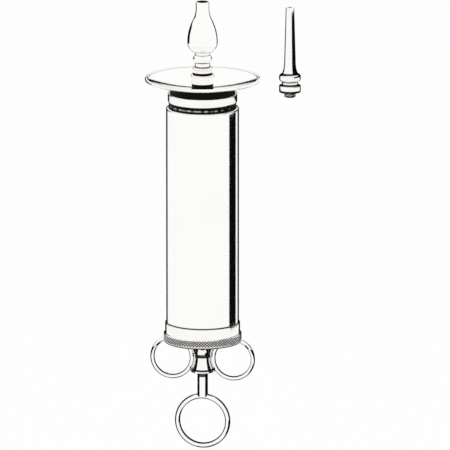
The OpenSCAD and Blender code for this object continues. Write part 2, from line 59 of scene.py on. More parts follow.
Point = tuple[float, float]
Corner = tuple[float, float, float]
Piece = bpy.types.Object
Tree = bpy.types.NodeTree
Socket = bpy.types.NodeSocket


class Reach(NamedTuple):
    """Where a CAD node lies, in millimetres: its lowest and highest point, and half its width along X."""

    low: float
    high: float
    radius: float


def reach(node_name: str) -> Reach:
    """Reads a CAD node's box from the frame."""
    lo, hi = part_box(node_name)
    return Reach(lo[2] / MM, hi[2] / MM, (hi[0] - lo[0]) / 2 / MM)


class Spot(NamedTuple):
    """A point of a turned outline in millimetres, with 1 where an edge wears, where residue and painted shade lie, and
    what is cut; on the joint ring the second mark is a painted highlight.
    """

    r: float
    z: float
    edge_wear: float = 0.0
    grime: float = 0.0
    cut_here: float = 0.0


class Outline(list[Spot]):
    """A closed outline of a turned piece, run anticlockwise in radius and height."""

    @classmethod
    def eased(cls, corners: list[Corner], steps: int = 4, hold: float = 0.12, corner_spread: float = 0.4) -> "Outline":
        """Rounds each corner with an arc and holds the flats beside it flat.

        Args:
            corners: radius, height and rounding of each corner, anticlockwise.
            steps: pieces in each arc.
            hold: distance of the holding points beside an outer corner's arc.
            corner_spread: how far the residue and painted shade of an inside corner spread along the flats beside it.

        Returns:
            The eased outline.
        """
        made = cls()
        for i, (r, z, ease) in enumerate(corners):
            last, following = corners[i - 1], corners[(i + 1) % len(corners)]
            here = Vector((r, z))
            back, ahead = Vector(last[:2]) - here, Vector(following[:2]) - here
            angle = back.angle(ahead)
            swing = 0.0 if angle > GENTLE else ahead.x * back.y - ahead.y * back.x
            # Inside corners are marked for residue and painted shade.
            inside_corner = float(swing < 0)
            ways = back.normalized(), ahead.normalized()
            trim, bent = 0.0, [here]
            if ease > 0:
                room = min(back.length * ease / (ease + last[2]), ahead.length * ease / (ease + following[2]))
                trim = min(ease / math.tan(angle / 2), 0.98 * room)
                radius = trim * math.tan(angle / 2)
                centre = here + (ways[0] + ways[1]).normalized() * math.hypot(trim, radius)
                first, final = (math.atan2(*(here + way * trim - centre).yx) for way in ways)
                turn = (final - first + math.pi) % math.tau - math.pi
                angles = [first + turn * k / steps for k in range(steps + 1)]
                bent = [centre + Vector((math.cos(a), math.sin(a))) * radius for a in angles]
            out = trim + (corner_spread if inside_corner else hold)
            held = [[Spot(*(here + way * out))] if (ease > 0 or inside_corner) and length > out + 2 * (out - trim) else []
                    for way, length in zip(ways, (back.length, ahead.length))]
            made += [*held[0], *(Spot(*p, float(ease > 0 and swing > 0), inside_corner) for p in bent), *held[1]]
        return made

    def filled(self, radius: float, start: float, end: float, spacing: float) -> "Outline":
        """Puts even points, marked to be cut, into an upright stretch in place of those between its ends.

        Args:
            radius: the stretch's radius.
            start: the height where it begins, in the outline's order.
            end: the height where it ends.
            spacing: the distance between points.

        Returns:
            A new outline.
        """
        count = max(2, round(abs(end - start) / spacing))
        even = [Spot(radius, start + (end - start) * k / count, cut_here=1.0) for k in range(count + 1)]
        shares = [(s.z - start) / (end - start) if abs(s.r - radius) < 1e-4 else None for s in self]
        made = Outline()
        for spot, share, following in zip(self, shares, shares[1:] + shares[:1]):
            if share is None or not 0 < share < 1:
                made.append(spot)
            if None not in (share, following) and share <= 0 < following:
                made += even
        return made

    def with_painted_shade(self, low: float, high: float, inner: float = 0.0, outer: float = math.inf) -> "Outline":
        """Returns the outline with every point between two heights and two radii marked for painted shade."""
        return Outline(s._replace(grime=1.0) if low <= s.z <= high and inner <= s.r <= outer else s for s in self)


def flat_ring(at: Reach, inner: float, inner_ease: float, outer_ease: float) -> Outline:
    """Outline of a flat ring as high and wide as a reach, with its hole's radius and how its edges are rounded."""
    return Outline.eased([(inner, at.low, inner_ease), (at.radius, at.low, outer_ease),
                          (at.radius, at.high, outer_ease), (inner, at.high, inner_ease)])


def arc(cx: float, cz: float, radius: float, start: float, end: float, steps: int) -> list[Point]:
    """Points of an arc about a centre, from one angle in degrees to another, both ends included."""
    angles = [math.radians(start + (end - start) * k / steps) for k in range(steps + 1)]
    return [(cx + radius * math.cos(a), cz + radius * math.sin(a)) for a in angles]


def bend(p: Point, q: Point, s: Point, steps: int) -> list[Point]:
    """Points of a curve that leaves p towards q and arrives at s, both ends included."""
    shares = [k / steps for k in range(steps + 1)]
    return [tuple((1 - t) ** 2 * a + 2 * t * (1 - t) * b + t * t * c for a, b, c in zip(p, q, s)) for t in shares]


def node(tree: Tree, kind: str, inputs: dict | None = None, **settings: object) -> bpy.types.Node:
    """Adds a node with its settings and links.

    Args:
        tree: the node tree that it goes into.
        kind: the node's type.
        inputs: for each input, by name or place, a socket to link or a value to set.
        **settings: the node's own properties.

    Returns:
        The new node.
    """
    made = tree.nodes.new(kind)
    for key, value in settings.items():
        setattr(made, key, value)
    for key, value in (inputs or {}).items():
        if isinstance(value, Socket):
            tree.links.new(value, made.inputs[key])
        else:
            made.inputs[key].default_value = value
    return made


def emptied(owner: bpy.types.Material | bpy.types.World) -> Tree:
    """Gives a new material or world an empty node tree.

    Args:
        owner: the material or world.

    Returns:
        Its tree.
    """
    owner.use_nodes = True
    owner.node_tree.nodes.clear()
    return owner.node_tree


def linear(code: str) -> tuple[float, float, float, float]:
    """Turns an sRGB hex colour such as #E4E3DF into linear red, green, blue and alpha."""
    parts = [int(code[i:i + 2], 16) / 255 for i in (1, 3, 5)]
    return (*(c / 12.92 if c <= 0.04045 else ((c + 0.055) / 1.055) ** 2.4 for c in parts), 1.0)


def smooth(mesh: bpy.types.Mesh, angle: float) -> None:
    """Shades a mesh smooth, and leaves its edges sharp past an angle in degrees."""
    mesh.shade_smooth()
    mesh.set_sharp_from_angle(angle=math.radians(angle))


def skin(name: str, verts: list, faces: list, marks: dict[str, list[float]], angle: float = 42.0) -> Piece:
    """Makes a smooth-shaded object at the origin from points in millimetres.

    Args:
        name: the object's name.
        verts: its points.
        faces: its faces, each turned outwards.
        marks: for each attribute, its value at every point.
        angle: the angle in degrees past which an edge stays sharp.

    Returns:
        The new object.
    """
    mesh = bpy.data.meshes.new(name)
    mesh.from_pydata([tuple(c * MM for c in v) for v in verts], [], faces)
    for key, values in marks.items():
        mesh.attributes.new(key, "FLOAT", "POINT").data.foreach_set("value", values)
    smooth(mesh, angle)
    mesh.validate()
    made = bpy.data.objects.new(name, mesh)
    bpy.context.scene.collection.objects.link(made)
    return made


def spun(name: str, outline: Outline, segments: int, centre_x: float = 0.0) -> Piece:
    """Spins an outline about an upright axis into a closed skin.

    Args:
        name: the object's name.
        outline: the outline, anticlockwise in radius and height.
        segments: faces round the axis.
        centre_x: where the axis stands along X, in millimetres.

    Returns:
        The new object.
    """
    ring = arc(0.0, 0.0, 1.0, 0.0, 360.0, segments)[:-1]
    verts, faces, rows = [], [], []
    for spot in outline:
        around = ring if spot.r > 1e-6 else ring[:1]
        rows.append((len(verts), len(around)))
        verts += [(centre_x + spot.r * c, spot.r * s, spot.z) for c, s in around]
    marks = {key: [getattr(spot, key) for spot, (_, count) in zip(outline, rows) for _ in range(count)]
             for key in ("edge_wear", "grime", "cut_here")}
    for (a, on_a), (b, on_b) in zip(rows, rows[1:] + rows[:1]):
        for k in range(segments if max(on_a, on_b) > 1 else 0):
            n = (k + 1) % segments
            faces.append(list(dict.fromkeys([a + k % on_a, a + n % on_a, b + n % on_b, b + k % on_b])))
    return skin(name, verts, faces, marks)


def wire_ring(name: str, centre: Point, mid_r: float, thickness: float, flat: float, steps: int, sides: int) -> Piece:
    """Bends a round wire into an upright ring, with a flat on its inner side that is darkened with painted shade.

    Args:
        name: the object's name.
        centre: the ring's centre in X and Z, in millimetres.
        mid_r: radius of the wire's middle line.
        thickness: the wire's diameter.
        flat: depth of the flat on its inner side, or 0 for a wire that stays round.
        steps: pieces round the ring.
        sides: faces round the wire.

    Returns:
        The new object.
    """
    radius = thickness / 2
    rounds = [math.tau * k / sides for k in range(sides)]
    verts, faces = [], []
    for i in range(steps):
        turn, j = math.tau * i / steps, (i + 1) % steps
        for k, a in enumerate(rounds):
            r, n = mid_r + max(radius * math.cos(a), flat - radius), (k + 1) % sides
            verts.append((centre[0] + r * math.cos(turn), radius * math.sin(a), centre[1] + r * math.sin(turn)))
            faces.append([i * sides + k, i * sides + n, j * sides + n, j * sides + k])
    wear = [max(0.0, abs(math.sin(a)) - 0.6) for a in rounds]
    # Painted shade on the wire's inner side, only where it has a flat.
    grime = [min(1.0, max(0.0, -2.5 * math.cos(a) - 0.9)) if flat else 0.0 for a in rounds]
    return skin(name, verts, faces, {"edge_wear": wear * steps, "grime": grime * steps}, 50.0)


def settled(piece: Piece, step: bpy.types.Modifier, angle: float) -> Piece:
    """Keeps what a modifier makes of a piece as its plain mesh, and removes the modifier.

    Args:
        piece: the piece.
        step: its only modifier.
        angle: the angle in degrees past which an edge stays sharp.

    Returns:
        The same piece.
    """
    bpy.context.view_layer.update()
    made = bpy.data.meshes.new_from_object(piece.evaluated_get(bpy.context.evaluated_depsgraph_get()))
    piece.modifiers.remove(step)
    piece.data = made
    made.name = piece.name
    smooth(made, angle)
    return piece


def combined(piece: Piece, tool: Piece, operation: str) -> Piece:
    """Joins, cuts or trims a piece with another closed one, which is used up.

    Args:
        piece: the piece to change.
        tool: the other closed piece.
        operation: UNION, DIFFERENCE or INTERSECT.

    Returns:
        The changed piece.
    """
    step = piece.modifiers.new("shape", "BOOLEAN")
    step.operation, step.solver, step.object = operation, "EXACT", tool
    settled(piece, step, 35)
    bpy.data.objects.remove(tool)
    return piece


class Grain(Enum):
    """Which way the fine lines of a finish run."""

    TURNED = 0
    CLOUDED = 1


@dataclass(frozen=True)
class Finish:
    """What a piece is made of and how its surface was made.

    Attributes:
        name: the material's name.
        slot: the record's material slot; not used.
        colour: main colour, sRGB hex.
        second: colour that it drifts to in patches.
        worn: colour that comes through on edges.
        metallic: 1 for a metal and 0 otherwise.
        roughness: mean roughness.
        grain: which way its fine lines run.
        grain_mm: their spacing in millimetres.
        patch_mm: width of its colour patches in millimetres.
        patch: how far the colour drifts, from 0 to 1.
        wear: how much of the worn colour shows, from 0 to 1.
        relief_mm: height of its fine relief in millimetres.
        unevenness: share by which its roughness changes along the lines.
        deposit_and_painted_tone: colour of the residue and painted shade in corners and hollows; on the joint ring, of
            its painted highlight.
        shine: strength of the mirror where it isn't metal.
        axis_x: where the piece's axis stands along X, in millimetres.
    """

    name: str
    slot: str
    colour: str
    second: str
    worn: str
    metallic: float
    roughness: float
    grain: Grain
    grain_mm: float
    patch_mm: float
    patch: float
    wear: float
    relief_mm: float
    unevenness: float = 0.25
    deposit_and_painted_tone: str = "#1C1A17"
    shine: float = 0.5
    axis_x: float = 0.0

    def material(self) -> bpy.types.Material:
        """Builds the material once, and returns the same one after that.

        Returns:
            The material.
        """
        known = bpy.data.materials.get(self.name)
        if known:
            return known
        made = bpy.data.materials.new(self.name)
        tree = emptied(made)
        where = node(tree, "ShaderNodeTexCoord").outputs["Object"]
        place = node(tree, "ShaderNodeMapping",
                     {"Vector": where, "Location": (-self.axis_x * MM, 0.0, 0.0)}).outputs[0]
        lines = self.lines(tree, place)
        low, high = self.roughness * (1 - self.unevenness), self.roughness * (1 + self.unevenness)
        rough = node(tree, "ShaderNodeMapRange",
                     {"Value": lines, "From Min": 0.3, "From Max": 0.7, "To Min": low, "To Max": high}).outputs[0]
        relief = node(tree, "ShaderNodeBump",
                      {"Strength": 1.0, "Distance": self.relief_mm * MM, "Height": lines}).outputs[0]
        body = node(tree, "ShaderNodeBsdfPrincipled",
                    {"Base Color": self.tint(tree, place, lines), "Metallic": self.metallic, "Roughness": rough,
                     "Normal": relief, "Specular IOR Level": self.shine}).outputs[0]
        node(tree, "ShaderNodeOutputMaterial", {"Surface": body})
        return made

    def lines(self, tree: Tree, place: Socket) -> Socket:
        """Adds the fine lines or clouds that the tool or the mould leaves.

        Args:
            tree: the material's tree.
            place: the point on the piece, in metres from its axis.

        Returns:
            A value round 0.5.
        """
        per_metre = 1 / (self.grain_mm * MM)
        if self.grain is Grain.CLOUDED:
            return node(tree, "ShaderNodeTexNoise",
                        {"Vector": place, "Scale": per_metre, "Detail": 4.0, "Roughness": 0.6}).outputs[0]
        split = node(tree, "ShaderNodeSeparateXYZ", {0: place}).outputs
        flat = node(tree, "ShaderNodeCombineXYZ", {0: split[0], 1: split[1]}).outputs[0]
        out = node(tree, "ShaderNodeVectorMath", {0: flat}, operation="LENGTH").outputs["Value"]
        towards = node(tree, "ShaderNodeVectorMath", {0: flat}, operation="NORMALIZE").outputs[0]
        side = node(tree, "ShaderNodeSeparateXYZ", {0: towards}).outputs[0]
        fine = [node(tree, "ShaderNodeMath", {0: value, 1: per_metre}, operation="MULTIPLY").outputs[0]
                for value in (out, split[2])]
        along = node(tree, "ShaderNodeCombineXYZ", {0: fine[0], 1: fine[1], 2: side}).outputs[0]
        return node(tree, "ShaderNodeTexNoise", {"Vector": along, "Scale": 1.0, "Detail": 3.0}).outputs[0]

    def tint(self, tree: Tree, place: Socket, lines: Socket) -> Socket:
        """Adds the colour, its patches, the worn edges, and the residue and painted shade in corners and hollows.

        Args:
            tree: the material's tree.
            place: the point on the piece, in metres from its axis.
            lines: the fine lines.

        Returns:
            The colour.
        """
        cloud = node(tree, "ShaderNodeTexNoise",
                     {"Vector": place, "Scale": 1 / (self.patch_mm * MM), "Detail": 5.0, "Roughness": 0.62}).outputs[0]
        edge = node(tree, "ShaderNodeAttribute", attribute_name="edge_wear").outputs["Fac"]
        nibbled = node(tree, "ShaderNodeMath", {0: edge, 1: lines}, operation="MULTIPLY").outputs[0]
        # Residue and painted shade, from each point's mark; on the joint ring, a painted highlight.
        grime = node(tree, "ShaderNodeAttribute", attribute_name="grime").outputs["Fac"]
        colour = linear(self.colour)
        for value, start, full, most, over in ((cloud, 0.45, 0.72, self.patch, self.second),
                                               (nibbled, 0.4, 0.75, self.wear, self.worn),
                                               (grime, 0.25, 0.8, 0.95, self.deposit_and_painted_tone)):
            share = node(tree, "ShaderNodeMapRange",
                         {"Value": value, "From Min": start, "From Max": full, "To Max": most}).outputs[0]
            colour = node(tree, "ShaderNodeMix", {0: share, 6: colour, 7: linear(over)}, data_type="RGBA").outputs[2]
        return colour


# Buffed nickel plate on drawn brass tube: a mirror, with hair lines round the tube from the buffing
# wheel. Real ones are 0.02 mm apart and can't show, so they are drawn 0.5 mm apart and very faint.
BARREL_PLATE = Finish("nickel plate, buffed tube", "plated_barrel", "#FDFDFB", "#F1EFEA", "#C8A968", 1.0, 0.085,
                      Grain.TURNED, 0.5, 26.0, 0.22, 0.35, 0.0012)

# Buffed nickel plate on turned brass: the same mirror, with the turning tool's rings just visible
# in the colour and gloss. They are drawn 0.3 mm apart, wider than the tool left them, so as to show.
TURNED_PLATE = Finish("nickel plate, turned", "plated_barrel", "#FCFBF9", "#EDEAE4", "#C8A968", 1.0, 0.11,
                      Grain.TURNED, 0.3, 9.0, 0.3, 0.45, 0.0015)

# Nickel plate on spun sheet and polished tips: brightest of all, with wide spinning rings.
SPUN_PLATE = Finish("nickel plate, spun and polished", "plated_bright", "#FDFDFB", "#F2F0EB", "#CDB074", 1.0, 0.08,
                    Grain.TURNED, 0.9, 18.0, 0.2, 0.35, 0.002)

# Nickel plate on bent wire: bright, slightly orange-peeled by hand polishing, so its gloss is clouded.
WIRE_PLATE = Finish("nickel plate, bent wire", "plated_bright", "#FCFCFA", "#EDEBE5", "#C8A968", 1.0, 0.1,
                    Grain.CLOUDED, 1.6, 7.0, 0.3, 0.45, 0.004)

# Nickel plate over a rolled knurl: bright crests, and black polish residue with painted shade in the grooves.
KNURL_PLATE = Finish("nickel plate, knurled", "plated_knurl", "#FCFBF9", "#EBE8E1", "#C8A968", 1.0, 0.16,
                     Grain.CLOUDED, 0.5, 6.0, 0.3, 0.5, 0.003)

# Moulded black rubber: a soft wide highlight, greyer where it has bloomed, and a fine skin.
BLACK_RUBBER = Finish("rubber, moulded black", "black_rubber", "#030303", "#070707", "#100F0E", 0.0, 0.45,
                      Grain.CLOUDED, 0.6, 5.0, 0.7, 0.8, 0.012, 0.2, deposit_and_painted_tone="#040404", shine=0.08)

# The same rubber with a painted highlight: white streaks in a groove.
HIGHLIGHTED_RUBBER = replace(BLACK_RUBBER, name="rubber, moulded black, painted highlight", deposit_and_painted_tone="#CFCDC6")

# Punched black vulcanised fibre: duller than rubber, browner, with the punch's fine rings.
BLACK_FIBRE = Finish("vulcanised fibre, black", "black_fibre", "#040303", "#090807", "#14110F", 0.0, 0.55,
                     Grain.TURNED, 0.25, 3.0, 0.6, 0.8, 0.01, 0.2, deposit_and_painted_tone="#040404", shine=0.08)

# The same plate and fibre on the spare nozzle, whose fine rings run about its own axis.
SPARE_X = 46.0
SPARE_PLATE = replace(TURNED_PLATE, name="nickel plate, turned spare nozzle", axis_x=SPARE_X)
SPARE_FIBRE = replace(BLACK_FIBRE, name="vulcanised fibre, black, spare nozzle", axis_x=SPARE_X)

# Cup leather, moulded wet and greased: dark, with a pebbled grain and a waxy shine on its lips.
CUP_LEATHER = Finish("leather, greased cup", "piston_leather", "#5B3821", "#3C2415", "#8A6142", 0.0, 0.38,
                     Grain.CLOUDED, 0.8, 6.0, 0.8, 0.7, 0.05, 0.3)

# Turned brass without plate: warm, with open turning rings and brown spots where water lies.
TURNED_BRASS = Finish("brass, turned", "bare_brass", "#C8A45A", "#9C7A3C", "#E0C483", 1.0, 0.26,
                      Grain.TURNED, 0.35, 4.0, 0.6, 0.6, 0.006, 0.35)


@dataclass(frozen=True)
class Cutter:
    """A Geometry Nodes tree that cuts a repeating pattern into the marked points of a turned blank.

    Attributes:
        name: the tree's name.
        sizes: its named number inputs with their usual values.
        sums: the arithmetic from height and turn to crest, the pattern's height from 0 to 1. Each sum
            is its result's name, the operation, and what goes in, by name or as a number.
        deposit_and_painted_tone: the crest below which residue and painted shade lie in the hollows, in full from a
            fifth lower.
    """

    name: str
    sizes: dict[str, float]
    sums: tuple[tuple, ...]
    deposit_and_painted_tone: float

    def tree(self) -> Tree:
        """Builds the tree once, and returns the same one after that.

        Returns:
            The tree, which lowers the marked points wherever the crest is below 1, and marks the hollows for residue
            and painted shade.
        """
        if self.name in bpy.data.node_groups:
            return bpy.data.node_groups[self.name]
        tree = bpy.data.node_groups.new(self.name, "GeometryNodeTree")
        face = tree.interface
        face.new_socket("Blank", in_out="INPUT", socket_type="NodeSocketGeometry")
        face.new_socket("Finish", in_out="INPUT", socket_type="NodeSocketMaterial")
        for key, usual in self.sizes.items():
            face.new_socket(key, in_out="INPUT", socket_type="NodeSocketFloat").default_value = usual
        face.new_socket("Cut piece", in_out="OUTPUT", socket_type="NodeSocketGeometry")
        given = node(tree, "NodeGroupInput").outputs
        where = node(tree, "GeometryNodeInputPosition").outputs[0]
        known = dict(zip(("x", "y", "height"), node(tree, "ShaderNodeSeparateXYZ", {0: where}).outputs))
        known.update({key: given[key] for key in self.sizes})
        for key in ("grime", "cut_here"):
            known[key] = node(tree, "GeometryNodeInputNamedAttribute", {"Name": key}, data_type="FLOAT").outputs[0]
        for result, operation, *values in (
                ("across", "SUBTRACT", "x", "Axis at X"), ("angle", "ARCTAN2", "y", "across"),
                ("turn", "DIVIDE", "angle", math.tau), *self.sums,
                ("drop", "SUBTRACT", "crest", 1.0), ("sunk", "MULTIPLY", "drop", "Depth"),
                ("shift", "MULTIPLY", "sunk", "cut_here"),
                # Residue and painted shade in the hollows, added to the points' own marks.
                ("under", "SUBTRACT", self.deposit_and_painted_tone, "crest"), ("deep", "DIVIDE", "under", self.deposit_and_painted_tone * 0.2),
                ("full", "MINIMUM", "deep", 1.0), ("packed", "MULTIPLY", "full", "cut_here"),
                ("lain", "MAXIMUM", "grime", "packed")):
            inputs = {i: known.get(value, value) for i, value in enumerate(values)}
            known[result] = node(tree, "ShaderNodeMath", inputs, operation=operation).outputs[0]
        flat = node(tree, "ShaderNodeCombineXYZ", {0: known["across"], 1: known["y"]}).outputs[0]
        out = node(tree, "ShaderNodeVectorMath", {0: flat}, operation="NORMALIZE").outputs[0]
        move = node(tree, "ShaderNodeVectorMath", {0: out, "Scale": known["shift"]}, operation="SCALE").outputs[0]
        made = node(tree, "GeometryNodeSetPosition", {"Geometry": given["Blank"], "Offset": move}).outputs[0]
        made = node(tree, "GeometryNodeStoreNamedAttribute",
                    {"Geometry": made, "Name": "grime", "Value": known["lain"]},
                    data_type="FLOAT", domain="POINT").outputs[0]
        made = node(tree, "GeometryNodeRealizeInstances", {0: made}).outputs[0]
        made = node(tree, "GeometryNodeSetMaterial", {"Geometry": made, "Material": given["Finish"]}).outputs[0]
        node(tree, "NodeGroupOutput", {0: made})
        return tree

    def work(self, blank: Piece, finish: Finish, sizes: dict[str, float]) -> Piece:
        """Runs a blank through the tree and keeps the result as a plain mesh.

        Args:
            blank: the turned blank, with its marked points.
            finish: the finish whose material the tree sets.
            sizes: the tree's inputs to set, by name.

        Returns:
            The same object with the cut mesh and no modifier.
        """
        step = blank.modifiers.new(self.name, "NODES")
        step.node_group = self.tree()
        sockets = {s.name: s.identifier for s in step.node_group.interface.items_tree if s.in_out == "INPUT"}
        for key, value in {"Finish": finish.material(), **sizes}.items():
            step[sockets[key]] = value
        return settled(blank, step, 30)


# A right-hand V thread whose crests keep the blank's radius, the deeper half of its grooves darkened with residue and
# painted shade.
THREAD_CUTTER = Cutter("thread cutter", {"Pitch": 1.25 * MM, "Depth": 0.4 * MM, "Axis at X": 0.0}, (
    ("along", "DIVIDE", "height", "Pitch"), ("phase", "SUBTRACT", "along", "turn"),
    ("fold", "PINGPONG", "phase", 0.5), ("fall", "MULTIPLY", "fold", 2.0), ("crest", "SUBTRACT", 1.0, "fall")), 0.5)

# Rows of raised diamonds with blunt tops, as two crossed sets of V grooves, darkened with residue and painted shade
# below the tops.
KNURL_ROLLER = Cutter("knurl roller", {"Diamonds round": 80.0, "Row height": 1.3 * MM, "Start height": 0.0,
                                       "Depth": 0.4 * MM, "Axis at X": 0.0}, (
    ("above", "SUBTRACT", "height", "Start height"), ("along", "DIVIDE", "above", "Row height"),
    ("around", "MULTIPLY", "turn", "Diamonds round"),
    ("rising", "ADD", "around", "along"), ("falling", "SUBTRACT", "around", "along"),
    ("rising fold", "PINGPONG", "rising", 0.5), ("falling fold", "PINGPONG", "falling", 0.5),
    ("fold", "MAXIMUM", "rising fold", "falling fold"), ("fall", "MULTIPLY", "fold", 2.0),
    ("ridge", "SUBTRACT", 1.0, "fall"), ("steep", "MULTIPLY", "ridge", 2.0), ("crest", "MINIMUM", "steep", 1.0)), 0.98)


@dataclass(frozen=True)
class ThreadForm:
    """A thread's pitch and depth in millimetres, its depth below 0 where it is inside a piece."""

    pitch: float
    depth: float

    @property
    def spacing(self) -> float:
        """Distance between the points that carry the thread's shape."""
        return self.pitch / 8


COARSE = ThreadForm(1.25, 0.35)
COARSE_INSIDE = ThreadForm(1.25, -0.35)
FINE = ThreadForm(0.75, 0.28)


def placed(piece: Piece, body: str, finish: Finish) -> Piece:
    """Dresses a piece, lets it stand for the CAD node of its name and ride on its body.

    Args:
        piece: the finished piece, named as its node with _skin after it.
        body: the CAD body that carries it.
        finish: its finish.

    Returns:
        The piece.
    """
    piece.data.materials.clear()
    piece.data.materials.append(finish.material())
    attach(piece, body)
    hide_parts(piece.name.removesuffix("_skin"))
    log.info("%s: %d faces on %s", piece.name, len(piece.data.polygons), body)
    return piece


def turned(node_name: str, body: str, finish: Finish, outline: Outline, segments: int = 128,
           thread: ThreadForm | None = None) -> Piece:
    """Spins the piece of a CAD node, cuts its thread where it has one, and dresses and places it.

    Args:
        node_name: the CAD node that it stands for.
        body: the CAD body that carries it.
        finish: its finish.
        outline: its outline.
        segments: faces round its axis.
        thread: the thread on the outline's marked points.

    Returns:
        The piece.
    """
    made = spun(f"{node_name}_skin", outline, segments, finish.axis_x)
    if thread:
        THREAD_CUTTER.work(made, finish, {"Pitch": thread.pitch * MM, "Depth": thread.depth * MM,
                                          "Axis at X": finish.axis_x * MM})
    return placed(made, body, finish)


@dataclass
class Barrel:
    """The drawn tube, rounded at its mouth, stepped and threaded at the cap end."""

    outer_r: float = 19.0
    bore_r: float = 17.8
    thread_r: float = 18.5
    mouth_round: float = 0.9
    cap_top: float = -57.5

    def build(self) -> None:
        """Builds the tube and cuts its thread."""
        at, step = reach("barrel_tube"), self.cap_top
        outline = Outline.eased([
            (self.bore_r, at.low, 0.1), (self.thread_r - 0.5, at.low, 0), (self.thread_r, at.low + 0.5, 0),
            (self.thread_r, step, 0), (self.outer_r, step, 0.1), (self.outer_r, step + 0.45, 0),
            (self.outer_r, step + 0.8, 0), (self.outer_r, at.high, self.mouth_round),
            (self.bore_r, at.high, 0.12)], 8)
        outline = outline.filled(self.thread_r, at.low + 0.6, step - 0.5, COARSE.spacing)
        # Painted shade: a dark line round the tube where the cap's top meets it.
        turned("barrel_tube", "barrel", BARREL_PLATE, outline.with_painted_shade(step - 0.1, step + 0.5), 224, COARSE)


@dataclass
class Head:
    """The turned plug in the barrel's mouth, its black joint ring and the shield's cushion ring."""

    collar_r: float = 18.1
    spigot_r: float = 17.77
    seat_r: float = 16.14
    cushion_r: float = 16.93
    relief_r: float = 13.3
    boss_r: float = 7.0
    well_r: float = 5.2
    tail_r: float = 4.55
    passage_r: float = 2.0
    joint_low: float = 56.45
    collar_low: float = 60.55
    collar_high: float = 65.0
    cushion_low: float = 63.8
    relief_low: float = 57.5
    tail_low: float = 59.75
    well_high: float = 55.9
    ring_bore_r: float = 16.17
    ring_mouth: float = 57.6
    lip_r: float = 0.35
    lower_lip: float = 58.05
    upper_lip: float = 59.95
    # Painted highlight: its lowest and highest place over the lower lip and its depth in the groove, how much
    # of it there is, and the waves that break it up, each with its size, count round the ring and start.
    highlight_band: Point = (0.3, 0.7)
    highlight_depth: float = 0.2
    highlight_share: float = 0.4
    highlight_waves: tuple[Corner, ...] = ((0.4, 2, 5.07), (0.3, 23, 0.0), (0.25, 37, 0.0))
    cushion_width: float = 2.4

    def build(self) -> None:
        """Builds the three pieces."""
        at = reach("head_cap")
        plug = Outline.eased([
            (self.well_r, at.low, 0.2), (self.spigot_r, at.low, 0.3), (self.spigot_r, self.joint_low, 0.1),
            (self.seat_r, self.joint_low, 0), (self.seat_r, self.collar_low, 0),
            (self.collar_r, self.collar_low, 0.45), (self.collar_r, self.collar_high, 0.4),
            (self.cushion_r, self.collar_high, 0.3), (self.cushion_r, self.cushion_low, 0.1),
            (self.relief_r, self.cushion_low, 0.2), (self.relief_r, self.relief_low, 0.5),
            (self.boss_r + 2, self.relief_low, 1.0), (self.boss_r, self.relief_low + 2, 1.0),
            (self.boss_r, at.high, 0.5), (self.tail_r, at.high, 0.3), (self.tail_r, self.tail_low, 0),
            (self.passage_r, self.tail_low, 0.1), (self.passage_r, self.well_high, 0.1),
            (self.well_r, self.well_high, 0.2)], 5)
        turned("head_cap", "barrel", TURNED_PLATE, plug, 192)
        self.joint_ring()
        self.cushion()

    def joint_ring(self) -> None:
        """Builds the ring as two round lips, with broken streaks of painted highlight in the groove between them."""
        at = reach("head_joint_ring")
        lips = [arc(at.radius - self.lip_r, middle, self.lip_r, start, start + 90, 8)
                for middle, start in ((self.lower_lip, 0), (self.upper_lip, -90))]
        outline = Outline.eased([
            (self.ring_bore_r, at.low, 0.1), (at.radius, at.low, 0.1), (at.radius, self.ring_mouth, 0),
            *((*p, 0) for lip in lips for p in lip),
            (at.radius - 0.1, at.high, 0.15), (self.ring_bore_r, at.high, 0.1)], corner_spread=0.25)
        # The painted highlight: white streaks along the groove, broken up round the ring.
        low, high = (self.lower_lip + z for z in self.highlight_band)
        outline = Outline(s._replace(grime=float(low < s.z < high and s.r < at.radius - self.highlight_depth))
                          for s in outline)
        made = spun("head_joint_ring_skin", outline, 192)
        for mark, point in zip(made.data.attributes["grime"].data, made.data.vertices):
            turn = math.atan2(point.co.y, point.co.x)
            mark.value *= self.highlight_share + sum(size * math.sin(count * turn + start)
                                            for size, count, start in self.highlight_waves)
        placed(made, "barrel", HIGHLIGHTED_RUBBER)

    def cushion(self) -> None:
        """Builds the cushion ring, crowned where the dish presses on it."""
        at = reach("shield_cushion")
        inner, gap = at.radius - self.cushion_width, 0.06
        corners = [(inner, at.low, 0.2), (at.radius, at.low, 0.2), (at.radius, Dish.under(at.radius) - gap, 0.45),
                   (inner, Dish.under(inner) - gap, 0.3)]
        turned("shield_cushion", "shield_seat", BLACK_RUBBER, Outline.eased(corners, 6), 192)


